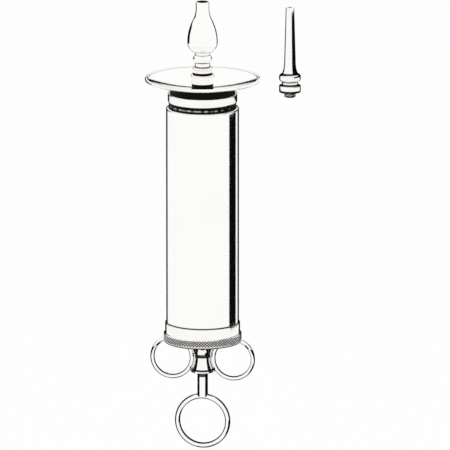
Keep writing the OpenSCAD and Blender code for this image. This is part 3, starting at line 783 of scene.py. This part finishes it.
@dataclass
class Dish:
    """The splash shield with its socket and the washer between them."""

    hole_r: float = 4.53
    rim_r: float = 29.15
    bead_r: float = 0.85
    rim_z: float = 72.325
    under_end: float = 28.66
    upper_end: float = 28.35
    socket_r: float = 6.2
    tail_r: float = 4.5
    bore_r: float = 2.0
    well_r: float = 3.1
    socket_low: float = 70.25
    well_z: float = 72.3
    thread_length: float = 6.8

    CENTRE_Z = 162.91
    UNDER_R = 95.66
    UPPER_R = 94.66

    @classmethod
    def under(cls, r: float) -> float:
        """Height of the dish's underside at a radius."""
        return cls.CENTRE_Z - math.sqrt(cls.UNDER_R ** 2 - r * r)

    @classmethod
    def upper(cls, r: float) -> float:
        """Height of the dish's upper side at a radius."""
        return cls.CENTRE_Z - math.sqrt(cls.UPPER_R ** 2 - r * r)

    def build(self) -> None:
        """Builds the dish, the socket and the washer."""
        self.dish()
        self.socket()
        self.washer()

    def dish(self) -> None:
        """Builds the spun sheet with the bead rolled round its rim."""
        end, shares = self.upper_end, [k / 40 for k in range(41)]
        under = [self.hole_r + (self.under_end - self.hole_r) * t for t in shares]
        upper = [end, *(end - 0.2 + (self.hole_r - end + 0.2) * t for t in shares)]
        bead = arc(self.rim_r, self.rim_z, self.bead_r, -125.5, 160.5, 26)
        outline = Outline([*(Spot(r, self.under(r)) for r in under),
                           *(Spot(r, z, float(r > self.rim_r)) for r, z in bead),
                           *(Spot(r, self.upper(r)) for r in upper)])
        # Painted shade: a dark line where the upper sheet meets the rolled bead.
        outline = outline.with_painted_shade(self.upper(end) - 0.02, self.upper(end) + 0.04, end - 0.02, end + 0.02)
        turned("splash_shield", "shield", SPUN_PLATE, outline, 256)

    def socket(self) -> None:
        """Builds the socket with its threaded tail."""
        at = reach("nozzle_socket")
        outline = Outline.eased([
            (self.bore_r, at.low, 0.15), (self.tail_r - 0.4, at.low, 0), (self.tail_r, at.low + 0.4, 0),
            (self.tail_r, self.socket_low, 0), (self.socket_r, self.socket_low, 0.3), (self.socket_r, at.high, 0.9),
            (self.well_r, at.high, 0.25), (self.well_r, self.well_z, 0), (self.bore_r, self.well_z, 0.1)], 8)
        start = at.low + 0.5
        outline = outline.filled(self.tail_r, start, start + self.thread_length, COARSE.spacing)
        turned("nozzle_socket", "shield", TURNED_PLATE, outline, 128, COARSE)

    def washer(self) -> None:
        """Builds the washer between dish and socket, its edge bulged by the pressure."""
        at = reach("socket_washer")
        inner, outer, gap = self.hole_r + 0.01, at.radius, 0.04
        corners = [(inner, self.upper(inner) + gap, 0.05), (outer, self.upper(outer) + gap, 0.3),
                   (outer, at.high, 0.3), (inner, at.high, 0.05)]
        turned("socket_washer", "shield", BLACK_FIBRE, Outline.eased(corners, 5))


@dataclass
class OliveNozzle:
    """The fitted nozzle: washer, stem with its bead, and the olive tip."""

    washer_r: float = 2.8
    stub_r: float = 3.05
    relief_r: float = 2.75
    neck_r: float = 3.95
    bead_r: float = 5.85
    flange_r: float = 5.15
    jet_r: float = 1.2
    tenon_r: float = 2.6
    socket_top: float = 74.95
    flange_low: float = 75.95
    flange_high: float = 78.85
    bead_low: float = 81.25
    bead_high: float = 85.25
    olive_low: float = 86.85
    tenon_high: float = 92.9
    belly_z: float = 91.95
    spout_z: float = 109.95
    olive_r: float = 7.9
    spout_r: float = 3.5
    foot_r: float = 5.5
    mouth_r: float = 2.7
    mouth_depth: float = 6.0
    full_share: float = 0.66

    def build(self) -> None:
        """Builds the three pieces."""
        ring = flat_ring(reach("nozzle_washer"), self.washer_r, 0.05, 0.25)
        turned("nozzle_washer", "nozzle_seat", BLACK_FIBRE, ring)
        self.stem()
        self.olive()

    def stem(self) -> None:
        """Builds the stem, from its threaded stub to the tenon in the olive."""
        at, low = reach("nozzle_stem"), self.olive_low - 0.05
        bead = bend((self.neck_r, self.bead_low), (self.bead_r, (self.bead_low + self.bead_high) / 2),
                    (self.neck_r, self.bead_high), 24)
        outline = Outline.eased([
            (self.jet_r, at.low, 0.1), (self.stub_r - 0.3, at.low, 0), (self.stub_r, at.low + 0.3, 0),
            (self.stub_r, self.socket_top, 0.05), (self.relief_r, self.socket_top, 0),
            (self.relief_r, self.flange_low, 0), (self.flange_r, self.flange_low, 0.2),
            (self.flange_r, self.flange_high, 0.5), (self.neck_r, self.flange_high, 0.3),
            *((*p, 0) for p in bead), (self.neck_r, low, 0.1), (self.tenon_r, low, 0),
            (self.tenon_r, at.high, 0.2), (self.jet_r, at.high, 0.1)], 6)
        outline = outline.filled(self.stub_r, at.low + 0.35, self.socket_top - 0.15, FINE.spacing)
        # Painted shade: a dark line under the flange, next to the washer.
        outline = outline.with_painted_shade(self.flange_low, self.flange_low + 0.2, self.flange_r - 0.35, self.flange_r)
        turned("nozzle_stem", "nozzle", TURNED_PLATE, outline, 128, FINE)

    def olive(self) -> None:
        """Builds the pear-shaped tip with its spout and mouth."""
        at = reach("olive_tip")
        height = self.spout_z - self.belly_z
        turn = 2 * math.atan((self.olive_r - self.spout_r) / height)
        full, hollow = (height * share / math.sin(turn) for share in (self.full_share, 1 - self.full_share))
        turn = math.degrees(turn)
        drop, rise = self.olive_r - self.foot_r, self.belly_z - self.olive_low - 0.5
        foot = (drop ** 2 + rise ** 2) / (2 * drop)
        side = [*arc(self.olive_r - foot, self.belly_z, foot, -math.degrees(math.asin(rise / foot)), 0, 24),
                *arc(self.olive_r - full, self.belly_z, full, turn / 20, turn, 19),
                *arc(self.spout_r + hollow, self.spout_z, hollow, 180 + turn * 0.95, 180, 19)]
        bore, floor = self.tenon_r + 0.03, at.high - self.mouth_depth
        outline = Outline.eased([
            (bore, self.olive_low, 0.1), (self.foot_r - 0.2, self.olive_low, 0.3), *((*p, 0) for p in side),
            (self.spout_r, at.high, 0.6), (self.mouth_r, at.high, 0.3), (self.mouth_r, floor, 0.8),
            (self.jet_r, floor, 0.2), (self.jet_r, self.tenon_high, 0), (bore, self.tenon_high, 0)], 8)
        # Painted shade: the mouth and the jet dark inside.
        outline = outline.with_painted_shade(floor - 1, at.high + 0.1, 0.0, self.mouth_r + 0.31)
        turned("olive_tip", "nozzle", SPUN_PLATE, outline, 160)


@dataclass
class EndCap:
    """The screwed cap with its knurl, gasket, packing, gland nut and the two finger rings."""

    side_r: float = 19.6
    floor_r: float = 20.05
    mouth_r: float = 18.55
    gasket_r: float = 16.8
    rod_hole_r: float = 2.8
    chamber_r: float = 3.58
    tail_r: float = 3.55
    root_r: float = 8.5
    rim_r: float = 6.5
    low: float = -67.8
    step_z: float = -66.9
    floor_z: float = -65.6
    box_top: float = -68.45
    chamber_top: float = -69.85
    nut_shoulder: float = -76.0
    packing_t: float = 1.2
    packing_gap: float = 0.05
    packing_rings: int = 3
    filed_top: float = -60.0
    ring_x: float = 16.13
    ring_z: float = -77.0
    ring_mid_r: float = 10.4
    ring_wire: float = 2.4
    ring_flat: float = 0.2
    knurl_round: int = 80
    knurl_rows: int = 3
    knurl_depth: float = 0.4

    def waist(self, z: float, gap: float) -> float:
        """Radius at a height of what passes between the finger rings with a gap to their outsides."""
        return self.ring_x - math.sqrt((self.ring_mid_r + self.ring_wire / 2 + gap) ** 2 - (z - self.ring_z) ** 2)

    def hollow_side(self, low: float, high: float, gap: float, most: float, steps: int) -> list[Corner]:
        """Points of a side that follows the finger rings upwards, no wider than a limit."""
        heights = [low + (high - low) * k / steps for k in range(steps + 1)]
        return [(min(most, self.waist(z, gap)), z, 0.0) for z in heights]

    def build(self) -> None:
        """Builds every piece that turns with the cap, and the gasket that it presses on."""
        self.cap()
        self.knurl()
        turned("cap_gasket", "cap_seat", BLACK_RUBBER, flat_ring(reach("cap_gasket"), self.gasket_r, 0.2, 0.2), 160)
        self.packing()
        self.gland()
        self.finger_ring("finger_ring_left", -1)
        self.finger_ring("finger_ring_right", 1)

    def cap(self) -> None:
        """Builds the cap with its stuffing box in one turned piece."""
        at = reach("end_cap")
        foot, *side = self.hollow_side(at.low, self.box_top, 0.03, self.root_r, 28)
        outline = Outline.eased([
            (self.chamber_r, at.low, 0.1), (*foot[:2], 0.12), *side,
            (self.root_r, self.low, 0), (self.floor_r, self.low, 0.25), (self.floor_r, self.low + 0.5, 0),
            (self.floor_r, self.step_z, 0.1), (self.side_r, self.step_z, 0), (self.side_r, at.high, 0.35),
            (self.mouth_r, at.high, 0.2), (self.mouth_r, self.floor_z, 0.2), (self.rod_hole_r, self.floor_z, 0.1),
            (self.rod_hole_r, self.chamber_top, 0), (self.chamber_r, self.chamber_top, 0)], 6)
        outline = outline.filled(self.mouth_r, at.high - 0.5, self.floor_z + 0.6, COARSE_INSIDE.spacing)
        # Painted shade: round the stuffing box's foot by the gland groove, and a dark line along the cap's lower edge.
        outline = outline.with_painted_shade(at.low, at.low + 0.45)
        outline = outline.with_painted_shade(self.low - 0.01, self.low + 0.55, self.side_r, self.floor_r + 0.01)
        turned("end_cap", "cap", TURNED_PLATE, outline, 224, COARSE_INSIDE)

    def knurl(self) -> None:
        """Builds the knurled band, its plain edges bevelled off."""
        at = reach("knurled_band")
        crest, foot, inner = at.radius, at.radius - self.knurl_depth, self.side_r + 0.03
        outline = Outline.eased([
            (inner, at.low, 0), (foot, at.low, 0.12), (crest, at.low + 0.3, 0.08), (crest, at.high - 0.3, 0.08),
            (foot, at.high, 0.12), (inner, at.high, 0)], 3, 0.05)
        row = (at.high - at.low) / self.knurl_rows
        outline = outline.filled(crest, at.low + 0.42, at.high - 0.42, row / 12)
        made = spun("knurled_band_skin", outline, self.knurl_round * 12)
        KNURL_ROLLER.work(made, KNURL_PLATE, {"Diamonds round": float(self.knurl_round), "Row height": row * MM,
                                              "Start height": at.low * MM, "Depth": self.knurl_depth * MM})
        placed(made, "cap", KNURL_PLATE)

    def packing(self) -> None:
        """Builds the packing rings as one piece, their corners rounded by the nut's pressure."""
        at, last = reach("rod_packing"), self.packing_rings - 1
        work = bmesh.new()
        for k in range(self.packing_rings):
            low = at.low + k * (at.high - at.low + self.packing_gap) / self.packing_rings
            ring = flat_ring(Reach(low, low + self.packing_t, at.radius), self.rod_hole_r, 0.15, 0.3)
            made = spun("packing_ring" if k < last else "rod_packing_skin", ring, 64)
            work.from_mesh(made.data)
            if k < last:
                bpy.data.objects.remove(made)
        work.to_mesh(made.data)
        work.free()
        placed(made, "cap", CUP_LEATHER)

    def gland(self) -> None:
        """Builds the gland nut: tail, bell and thin rim."""
        at = reach("gland_nut")
        rim = at.low + 0.8
        outline = Outline.eased([
            (self.rod_hole_r, at.low, 0.15), (self.rim_r, at.low, 0.12), (self.rim_r, at.low + 0.29, 0.1),
            (self.waist(rim, 0.08), rim, 0.15),
            *self.hollow_side(rim, self.nut_shoulder, 0.4, self.rim_r, 22),
            (self.tail_r, self.nut_shoulder, 0.1), (self.tail_r, at.high, 0.15), (self.rod_hole_r, at.high, 0.1)], 5)
        # Painted shade: in the groove below the stuffing box and in the corner above the rim.
        outline = outline.with_painted_shade(self.nut_shoulder - 0.4, at.high).with_painted_shade(rim - 0.01, rim + 0.8, 4.0, self.rim_r)
        turned("gland_nut", "cap", TURNED_PLATE, outline)

    def finger_ring(self, node_name: str, side: int) -> None:
        """Builds a ring of bent wire, filed to fit round the cap's lower corner.

        Args:
            node_name: the CAD node that it stands for.
            side: -1 for the left ring and 1 for the right one.
        """
        made = wire_ring(f"{node_name}_skin", (side * self.ring_x, self.ring_z), self.ring_mid_r, self.ring_wire,
                         self.ring_flat, 176, 28)
        outer = reach("knurled_band").radius + 0.03
        body = Outline.eased([(0.0, self.low, 0), (outer, self.low, 0.3), (outer, self.filed_top, 0),
                              (0.0, self.filed_top, 0)])
        placed(combined(made, spun("cap_body", body, 224), "DIFFERENCE"), "cap", WIRE_PLATE)


@dataclass
class Plunger:
    """The rod with its thumb ring, and the leather-cupped piston that it turns in."""

    rod_r: float = 2.75
    shadow_length: float = 2.7
    journal_r: float = 2.0
    hole_r: float = 2.05
    leather_r: float = 17.72
    leather_t: float = 1.4
    nut_r: float = 4.5
    shoulder_z: float = 41.25
    thumb_z: float = -110.8
    thumb_mid_r: float = 13.25
    thumb_wire: float = 2.9
    thumb_flat: float = 0.2
    pin_r: float = 1.3
    pin_top: float = -89.1
    gland_low: float = -84.1

    def build(self) -> None:
        """Builds the piston's stack, the rod, its nut and the thumb ring."""
        for node_name, ease in (("piston_front_plate", 0.4), ("piston_rear_plate", 0.4), ("piston_spreader", 0.3)):
            turned(node_name, "piston", TURNED_BRASS, flat_ring(reach(node_name), self.hole_r, 0.2, ease), 160)
        self.cup("piston_leather_front", 1)
        self.cup("piston_leather_rear", -1)
        self.rod()
        self.nut()
        self.thumb_ring()

    def cup(self, node_name: str, opens: int) -> None:
        """Builds a leather cup, its outer corner round and its lip thinned.

        Args:
            node_name: the CAD node that it stands for.
            opens: 1 where its mouth is up and -1 where it is down.
        """
        at = reach(node_name)
        floor, lip = (at.low, at.high)[::opens]
        inner, top = self.leather_r - self.leather_t, floor + opens * self.leather_t
        corners = [(self.hole_r, floor, 0.15), (self.leather_r, floor, 1.1), (self.leather_r, lip, 0.25),
                   (inner + 0.35, lip, 0.3), (inner, top + opens * 1.6, 0.8), (inner, top, 0.6),
                   (self.hole_r, top, 0.15)][::opens]
        turned(node_name, "piston", CUP_LEATHER, Outline.eased(corners, 6), 160)

    def loop(self, name: str, thickness: float, flat: float) -> Piece:
        """Builds the thumb ring's wire, or the same line with another thickness."""
        return wire_ring(name, (0.0, self.thumb_z), self.thumb_mid_r, thickness, flat, 192, 36)

    def rod(self) -> None:
        """Builds the rod, saddled on the thumb ring, bored for its pin, and darkened below the gland with a painted
        shadow.
        """
        at, low = reach("plunger_rod"), self.thumb_z + self.thumb_mid_r
        hole, hole_top = self.pin_r + 0.03, self.pin_top + 0.05
        # Painted shadow: a dark band on the rod just under the gland; the greased points only bound it.
        foot, fade = self.gland_low - self.shadow_length, 0.3
        greased = [(self.rod_r, z, 0) for z in (foot - fade, foot + 0.1, self.gland_low - 0.1, self.gland_low + fade)]
        outline = Outline.eased([
            (hole, low, 0), (self.rod_r, low, 0), *greased, (self.rod_r, self.shoulder_z, 0.3),
            (self.journal_r, self.shoulder_z, 0), (self.journal_r, at.high, 0.35), (0.0, at.high, 0),
            (0.0, hole_top, 0), (hole, hole_top, 0)], 5)
        made = spun("plunger_rod_skin", outline.with_painted_shade(foot, self.gland_low), 96)
        saddle = self.loop("saddle", self.thumb_wire + 0.06, 0.0)
        placed(combined(made, saddle, "DIFFERENCE"), "rod", BARREL_PLATE)

    def nut(self) -> None:
        """Builds the six-sided nut, its corners turned off."""
        at, hole = reach("piston_nut"), self.journal_r + 0.03
        blank = [(hole, at.low, 0.2), (self.nut_r, at.low, 0.25), (self.nut_r, at.high, 0.6), (hole, at.high, 0.25)]
        made = spun("piston_nut_skin", Outline.eased(blank, 5), 96)
        low, high = at.low - 1, at.high + 1
        prism = Outline([Spot(0.0, low), Spot(self.nut_r, low), Spot(self.nut_r, high), Spot(0.0, high)])
        placed(combined(made, spun("nut_prism", prism, 6), "INTERSECT"), "rod", TURNED_BRASS)

    def thumb_ring(self) -> None:
        """Builds the thumb ring with the pin that goes up into the rod."""
        low = self.thumb_z + self.thumb_mid_r
        pin = Outline.eased([(0.0, low, 0), (self.pin_r, low, 0), (self.pin_r, self.pin_top, 0.2),
                             (0.0, self.pin_top, 0)])
        made = self.loop("thumb_ring_skin", self.thumb_wire, self.thumb_flat)
        placed(combined(made, spun("pin", pin, 48), "UNION"), "rod", WIRE_PLATE)


@dataclass
class SpareNozzle:
    """The second, straight nozzle, standing beside the syringe with its own washer."""

    washer_r: float = 2.8
    stub_r: float = 3.05
    relief_r: float = 2.75
    flange_r: float = 5.65
    groove_r: float = 4.25
    root_r: float = 4.4
    pipe_r: float = 3.0
    tip_r: float = 2.2
    jet_r: float = 1.0
    seat_z: float = 68.0
    thread_high: float = 67.0
    groove_z: float = 70.7
    upper_z: float = 72.9
    root_z: float = 76.6
    pipe_z: float = 82.6

    def build(self) -> None:
        """Builds the nozzle and its washer."""
        at, groove, upper, root = reach("spare_nozzle"), self.groove_z, self.upper_z, self.root_z
        groove_side = [(self.groove_r, z, 0) for z in (groove + 0.8, groove + 1.0, upper - 0.6, upper - 0.4)]
        flare = bend((self.root_r, root), (self.pipe_r + 0.15, root + 2.0), (self.pipe_r, self.pipe_z), 20)
        outline = Outline.eased([
            (self.jet_r, at.low, 0.1), (self.stub_r - 0.3, at.low, 0), (self.stub_r, at.low + 0.3, 0),
            (self.stub_r, self.thread_high, 0.05), (self.relief_r, self.thread_high, 0),
            (self.relief_r, self.seat_z, 0), (self.flange_r, self.seat_z, 0.2), (self.flange_r, groove, 0.35),
            (self.groove_r, groove, 0.12), *groove_side, (self.groove_r, upper, 0.12), (self.flange_r, upper, 1.2),
            (self.flange_r, root, 1.2), *((*p, 0) for p in flare), (self.tip_r, at.high, 0.45),
            (self.jet_r, at.high, 0.2)], 7)
        outline = outline.filled(self.stub_r, at.low + 0.35, self.thread_high - 0.15, FINE.spacing)
        # Painted shade as dark lines: at the pipe's root, in the groove's two corners, under the flange and in the jet.
        for low, high, inner, outer in ((root - 0.05, root + 0.7, 4.0, 4.9), (groove, groove + 0.85, 4.0, 4.6),
                                        (upper - 0.45, upper, 4.0, 4.6), (self.seat_z, self.seat_z + 0.2, 5.2, 5.7),
                                        (at.high - 20, at.high - 0.1, 0.0, 1.15)):
            outline = outline.with_painted_shade(low, high, inner, outer)
        turned("spare_nozzle", "spare", SPARE_PLATE, outline, 128, FINE)
        ring = flat_ring(reach("spare_nozzle_washer"), self.washer_r, 0.05, 0.25)
        turned("spare_nozzle_washer", "spare", SPARE_FIBRE, ring)


@dataclass(frozen=True)
class Card:
    """A card that only reflections see: black felt, or white board that hides felt, between two edges in metres."""

    near: tuple[Corner, ...]
    far: tuple[Corner, ...]
    white: bool = False

    @classmethod
    def bent(cls, first: float, last: float, near: Point, far: Point, about: float = 0.0) -> "Card":
        """A card bent round an upright axis.

        Args:
            first: direction of its first end from the axis, in degrees.
            last: direction of its last end.
            near: distance from the axis and height of one edge, in metres.
            far: distance and height of the other edge.
            about: where the axis stands along X, in metres.

        Returns:
            The card.
        """
        return cls(*(tuple((*p, z) for p in arc(about, 0.0, distance, first, last, 24)) for distance, z in (near, far)))

    @classmethod
    def board(cls, start: Point, end: Point, low: float, high: float, white: bool = True) -> "Card":
        """A flat upright board between two plan points, in metres."""
        return cls(*(tuple((*p, z) for p in (start, end)) for z in (low, high)), white)

    def stand(self, name: str) -> None:
        """Stands the card in its place.

        Args:
            name: its object's name.
        """
        count = len(self.near)
        verts = [tuple(c / MM for c in point) for point in (*self.near, *self.far)]
        made = skin(name, verts, [[k + 1, k, count + k, count + 1 + k] for k in range(count - 1)], {})
        label, colour = ("foam board, white", "#FFFFFF") if self.white else ("felt, black", "#0A0A0A")
        stuff = bpy.data.materials.get(label)
        if not stuff:
            stuff = bpy.data.materials.new(label)
            tree = emptied(stuff)
            lit = node(tree, "ShaderNodeEmission", {"Color": linear(colour), "Strength": 1.0}).outputs[0]
            node(tree, "ShaderNodeOutputMaterial", {"Surface": lit})
        made.data.materials.append(stuff)
        made.visible_camera = made.visible_diffuse = made.visible_shadow = made.visible_transmission = False


@dataclass
class Studio:
    """Pale floor, plain soft light, dark cards for the metal to show, and the camera."""

    floor_z: float = -0.24
    floor_half: float = 6.0
    azimuth: float = 9.0
    elevation: float = 13.2
    distance: float = 6.0
    lens: float = 920.0
    aside: float = 0.0117
    target_z: float = -0.0057
    pale: str = "#F6F6F4"
    cards: tuple[Card, ...] = (
        # The black stripe down the barrel's right side.
        Card.bent(-0.5, 33.8, (0.06, -0.0693), (0.06, 0.0459)),
        # The outlines of the barrel, and wider ones for the smaller pieces above it.
        Card.bent(64, 134, (0.65, -0.235), (0.65, -0.075)),
        Card.bent(49, 149, (0.65, -0.075), (0.65, -0.056)),
        Card.bent(36, 162, (0.65, -0.056), (0.65, 0.2)),
        # A dark box behind and under the rings: walls, roof and floors.
        Card.bent(-25, 208, (0.15, -0.235), (0.15, -0.106)),
        Card.bent(-52, -25, (0.15, -0.235), (0.15, -0.137)),
        Card.bent(-25, 208, (0.022, -0.0705), (0.15, -0.106)),
        Card.bent(-25, 208, (0.07, -0.234), (0.15, -0.234)),
        Card.bent(0, 360, (0.001, -0.234), (0.07, -0.234)),
        # The shade on the spare nozzle's right side, and its outlines.
        Card.bent(-40, 110, (0.036, 0.07), (0.036, 0.104), SPARE_X * MM),
        Card.bent(40, 110, (0.036, 0.052), (0.036, 0.07), SPARE_X * MM),
        Card.board((0.033, 0.0), (0.033, 0.034), 0.062, 0.118, white=False),
        # The board that hides them from the olive.
        Card.board((0.0315, -0.02), (0.0315, 0.034), 0.067, 0.118),
    )

    def build(self) -> None:
        """Builds the floor, the light, the cards and the camera."""
        self.floor()
        self.world()
        self.lamps()
        for i, card in enumerate(self.cards):
            card.stand(f"card_{i}")
        self.camera()

    def floor(self) -> None:
        """Builds the floor: pale, keeping the shadow, and white to the camera and to mirrors."""
        half, low = self.floor_half / MM, self.floor_z / MM
        made = skin("floor", [(-half, -half, low), (half, -half, low), (half, half, low), (-half, half, low)],
                    [[0, 1, 2, 3]], {})
        paper = bpy.data.materials.new("matt paper, pale floor")
        tree = emptied(paper)
        matt = node(tree, "ShaderNodeBsdfDiffuse", {"Color": linear(self.pale)}).outputs[0]
        white = node(tree, "ShaderNodeEmission", {"Color": (1, 1, 1, 1), "Strength": 1.0}).outputs[0]
        share = node(tree, "ShaderNodeMath", {0: self.seen_directly(tree), 1: 0.97}, operation="MULTIPLY").outputs[0]
        mixed = node(tree, "ShaderNodeMixShader", {0: share, 1: matt, 2: white}).outputs[0]
        node(tree, "ShaderNodeOutputMaterial", {"Surface": mixed})
        made.data.materials.append(paper)

    def seen_directly(self, tree: Tree) -> Socket:
        """Adds a value that is 1 for the camera, for mirrors and through glass, and 0 for other light.

        Args:
            tree: the tree that it goes into.

        Returns:
            The value.
        """
        path = node(tree, "ShaderNodeLightPath").outputs
        seen = path["Is Camera Ray"]
        for ray in ("Is Glossy Ray", "Is Transmission Ray"):
            seen = node(tree, "ShaderNodeMath", {0: seen, 1: path[ray]}, operation="MAXIMUM").outputs[0]
        return seen

    def world(self) -> None:
        """Makes the world a soft white dome, white itself where it is seen."""
        made = bpy.data.worlds.new("studio")
        tree = emptied(made)
        strength = node(tree, "ShaderNodeMapRange",
                        {"Value": self.seen_directly(tree), "To Min": 0.55, "To Max": 1.0}).outputs[0]
        sky = node(tree, "ShaderNodeBackground", {"Color": (1, 1, 1, 1), "Strength": strength}).outputs[0]
        node(tree, "ShaderNodeOutputWorld", {"Surface": sky})
        bpy.context.scene.world = made

    def lamps(self) -> None:
        """Hangs two wide soft lamps in front, one to each side."""
        for name, place, power, size in (("key_lamp", Vector((-1.1, -1.5, 1.5)), 16.0, 1.2),
                                         ("fill_lamp", Vector((1.4, -1.2, 0.9)), 7.0, 1.4)):
            lamp = bpy.data.lights.new(name, "AREA")
            lamp.energy, lamp.shape, lamp.size = power, "SQUARE", size
            made = bpy.data.objects.new(name, lamp)
            made.location = place
            made.rotation_euler = (-place).to_track_quat("-Z", "Y").to_euler()
            made.visible_glossy = False
            bpy.context.scene.collection.objects.link(made)

    def camera(self) -> None:
        """Places the camera at the picture's angle, so that the syringe stands where it is drawn."""
        side, up = math.radians(self.azimuth), math.radians(self.elevation)
        across = Vector((math.cos(side), math.sin(side), 0.0))
        target = across * self.aside + Vector((0.0, 0.0, self.target_z))
        back = Vector((math.sin(side) * math.cos(up), -math.cos(side) * math.cos(up), math.sin(up)))
        lens = bpy.data.cameras.new("camera")
        lens.lens, lens.clip_end = self.lens, 50
        made = bpy.data.objects.new("camera", lens)
        made.location = target + back * self.distance
        made.rotation_euler = (-back).to_track_quat("-Z", "Y").to_euler()
        bpy.context.scene.collection.objects.link(made)
        bpy.context.scene.camera = made


def main() -> None:
    """Builds the studio, then the syringe's sub-assemblies in order."""
    logging.basicConfig(level=logging.INFO, format="%(name)s: %(message)s")
    for assembly in (Studio(), Barrel(), Head(), Dish(), OliveNozzle(), EndCap(), Plunger(), SpareNozzle()):
        assembly.build()
    bpy.context.scene.view_settings.view_transform = "Standard"
    bpy.context.view_layer.update()


if __name__ == "__main__":
    main()
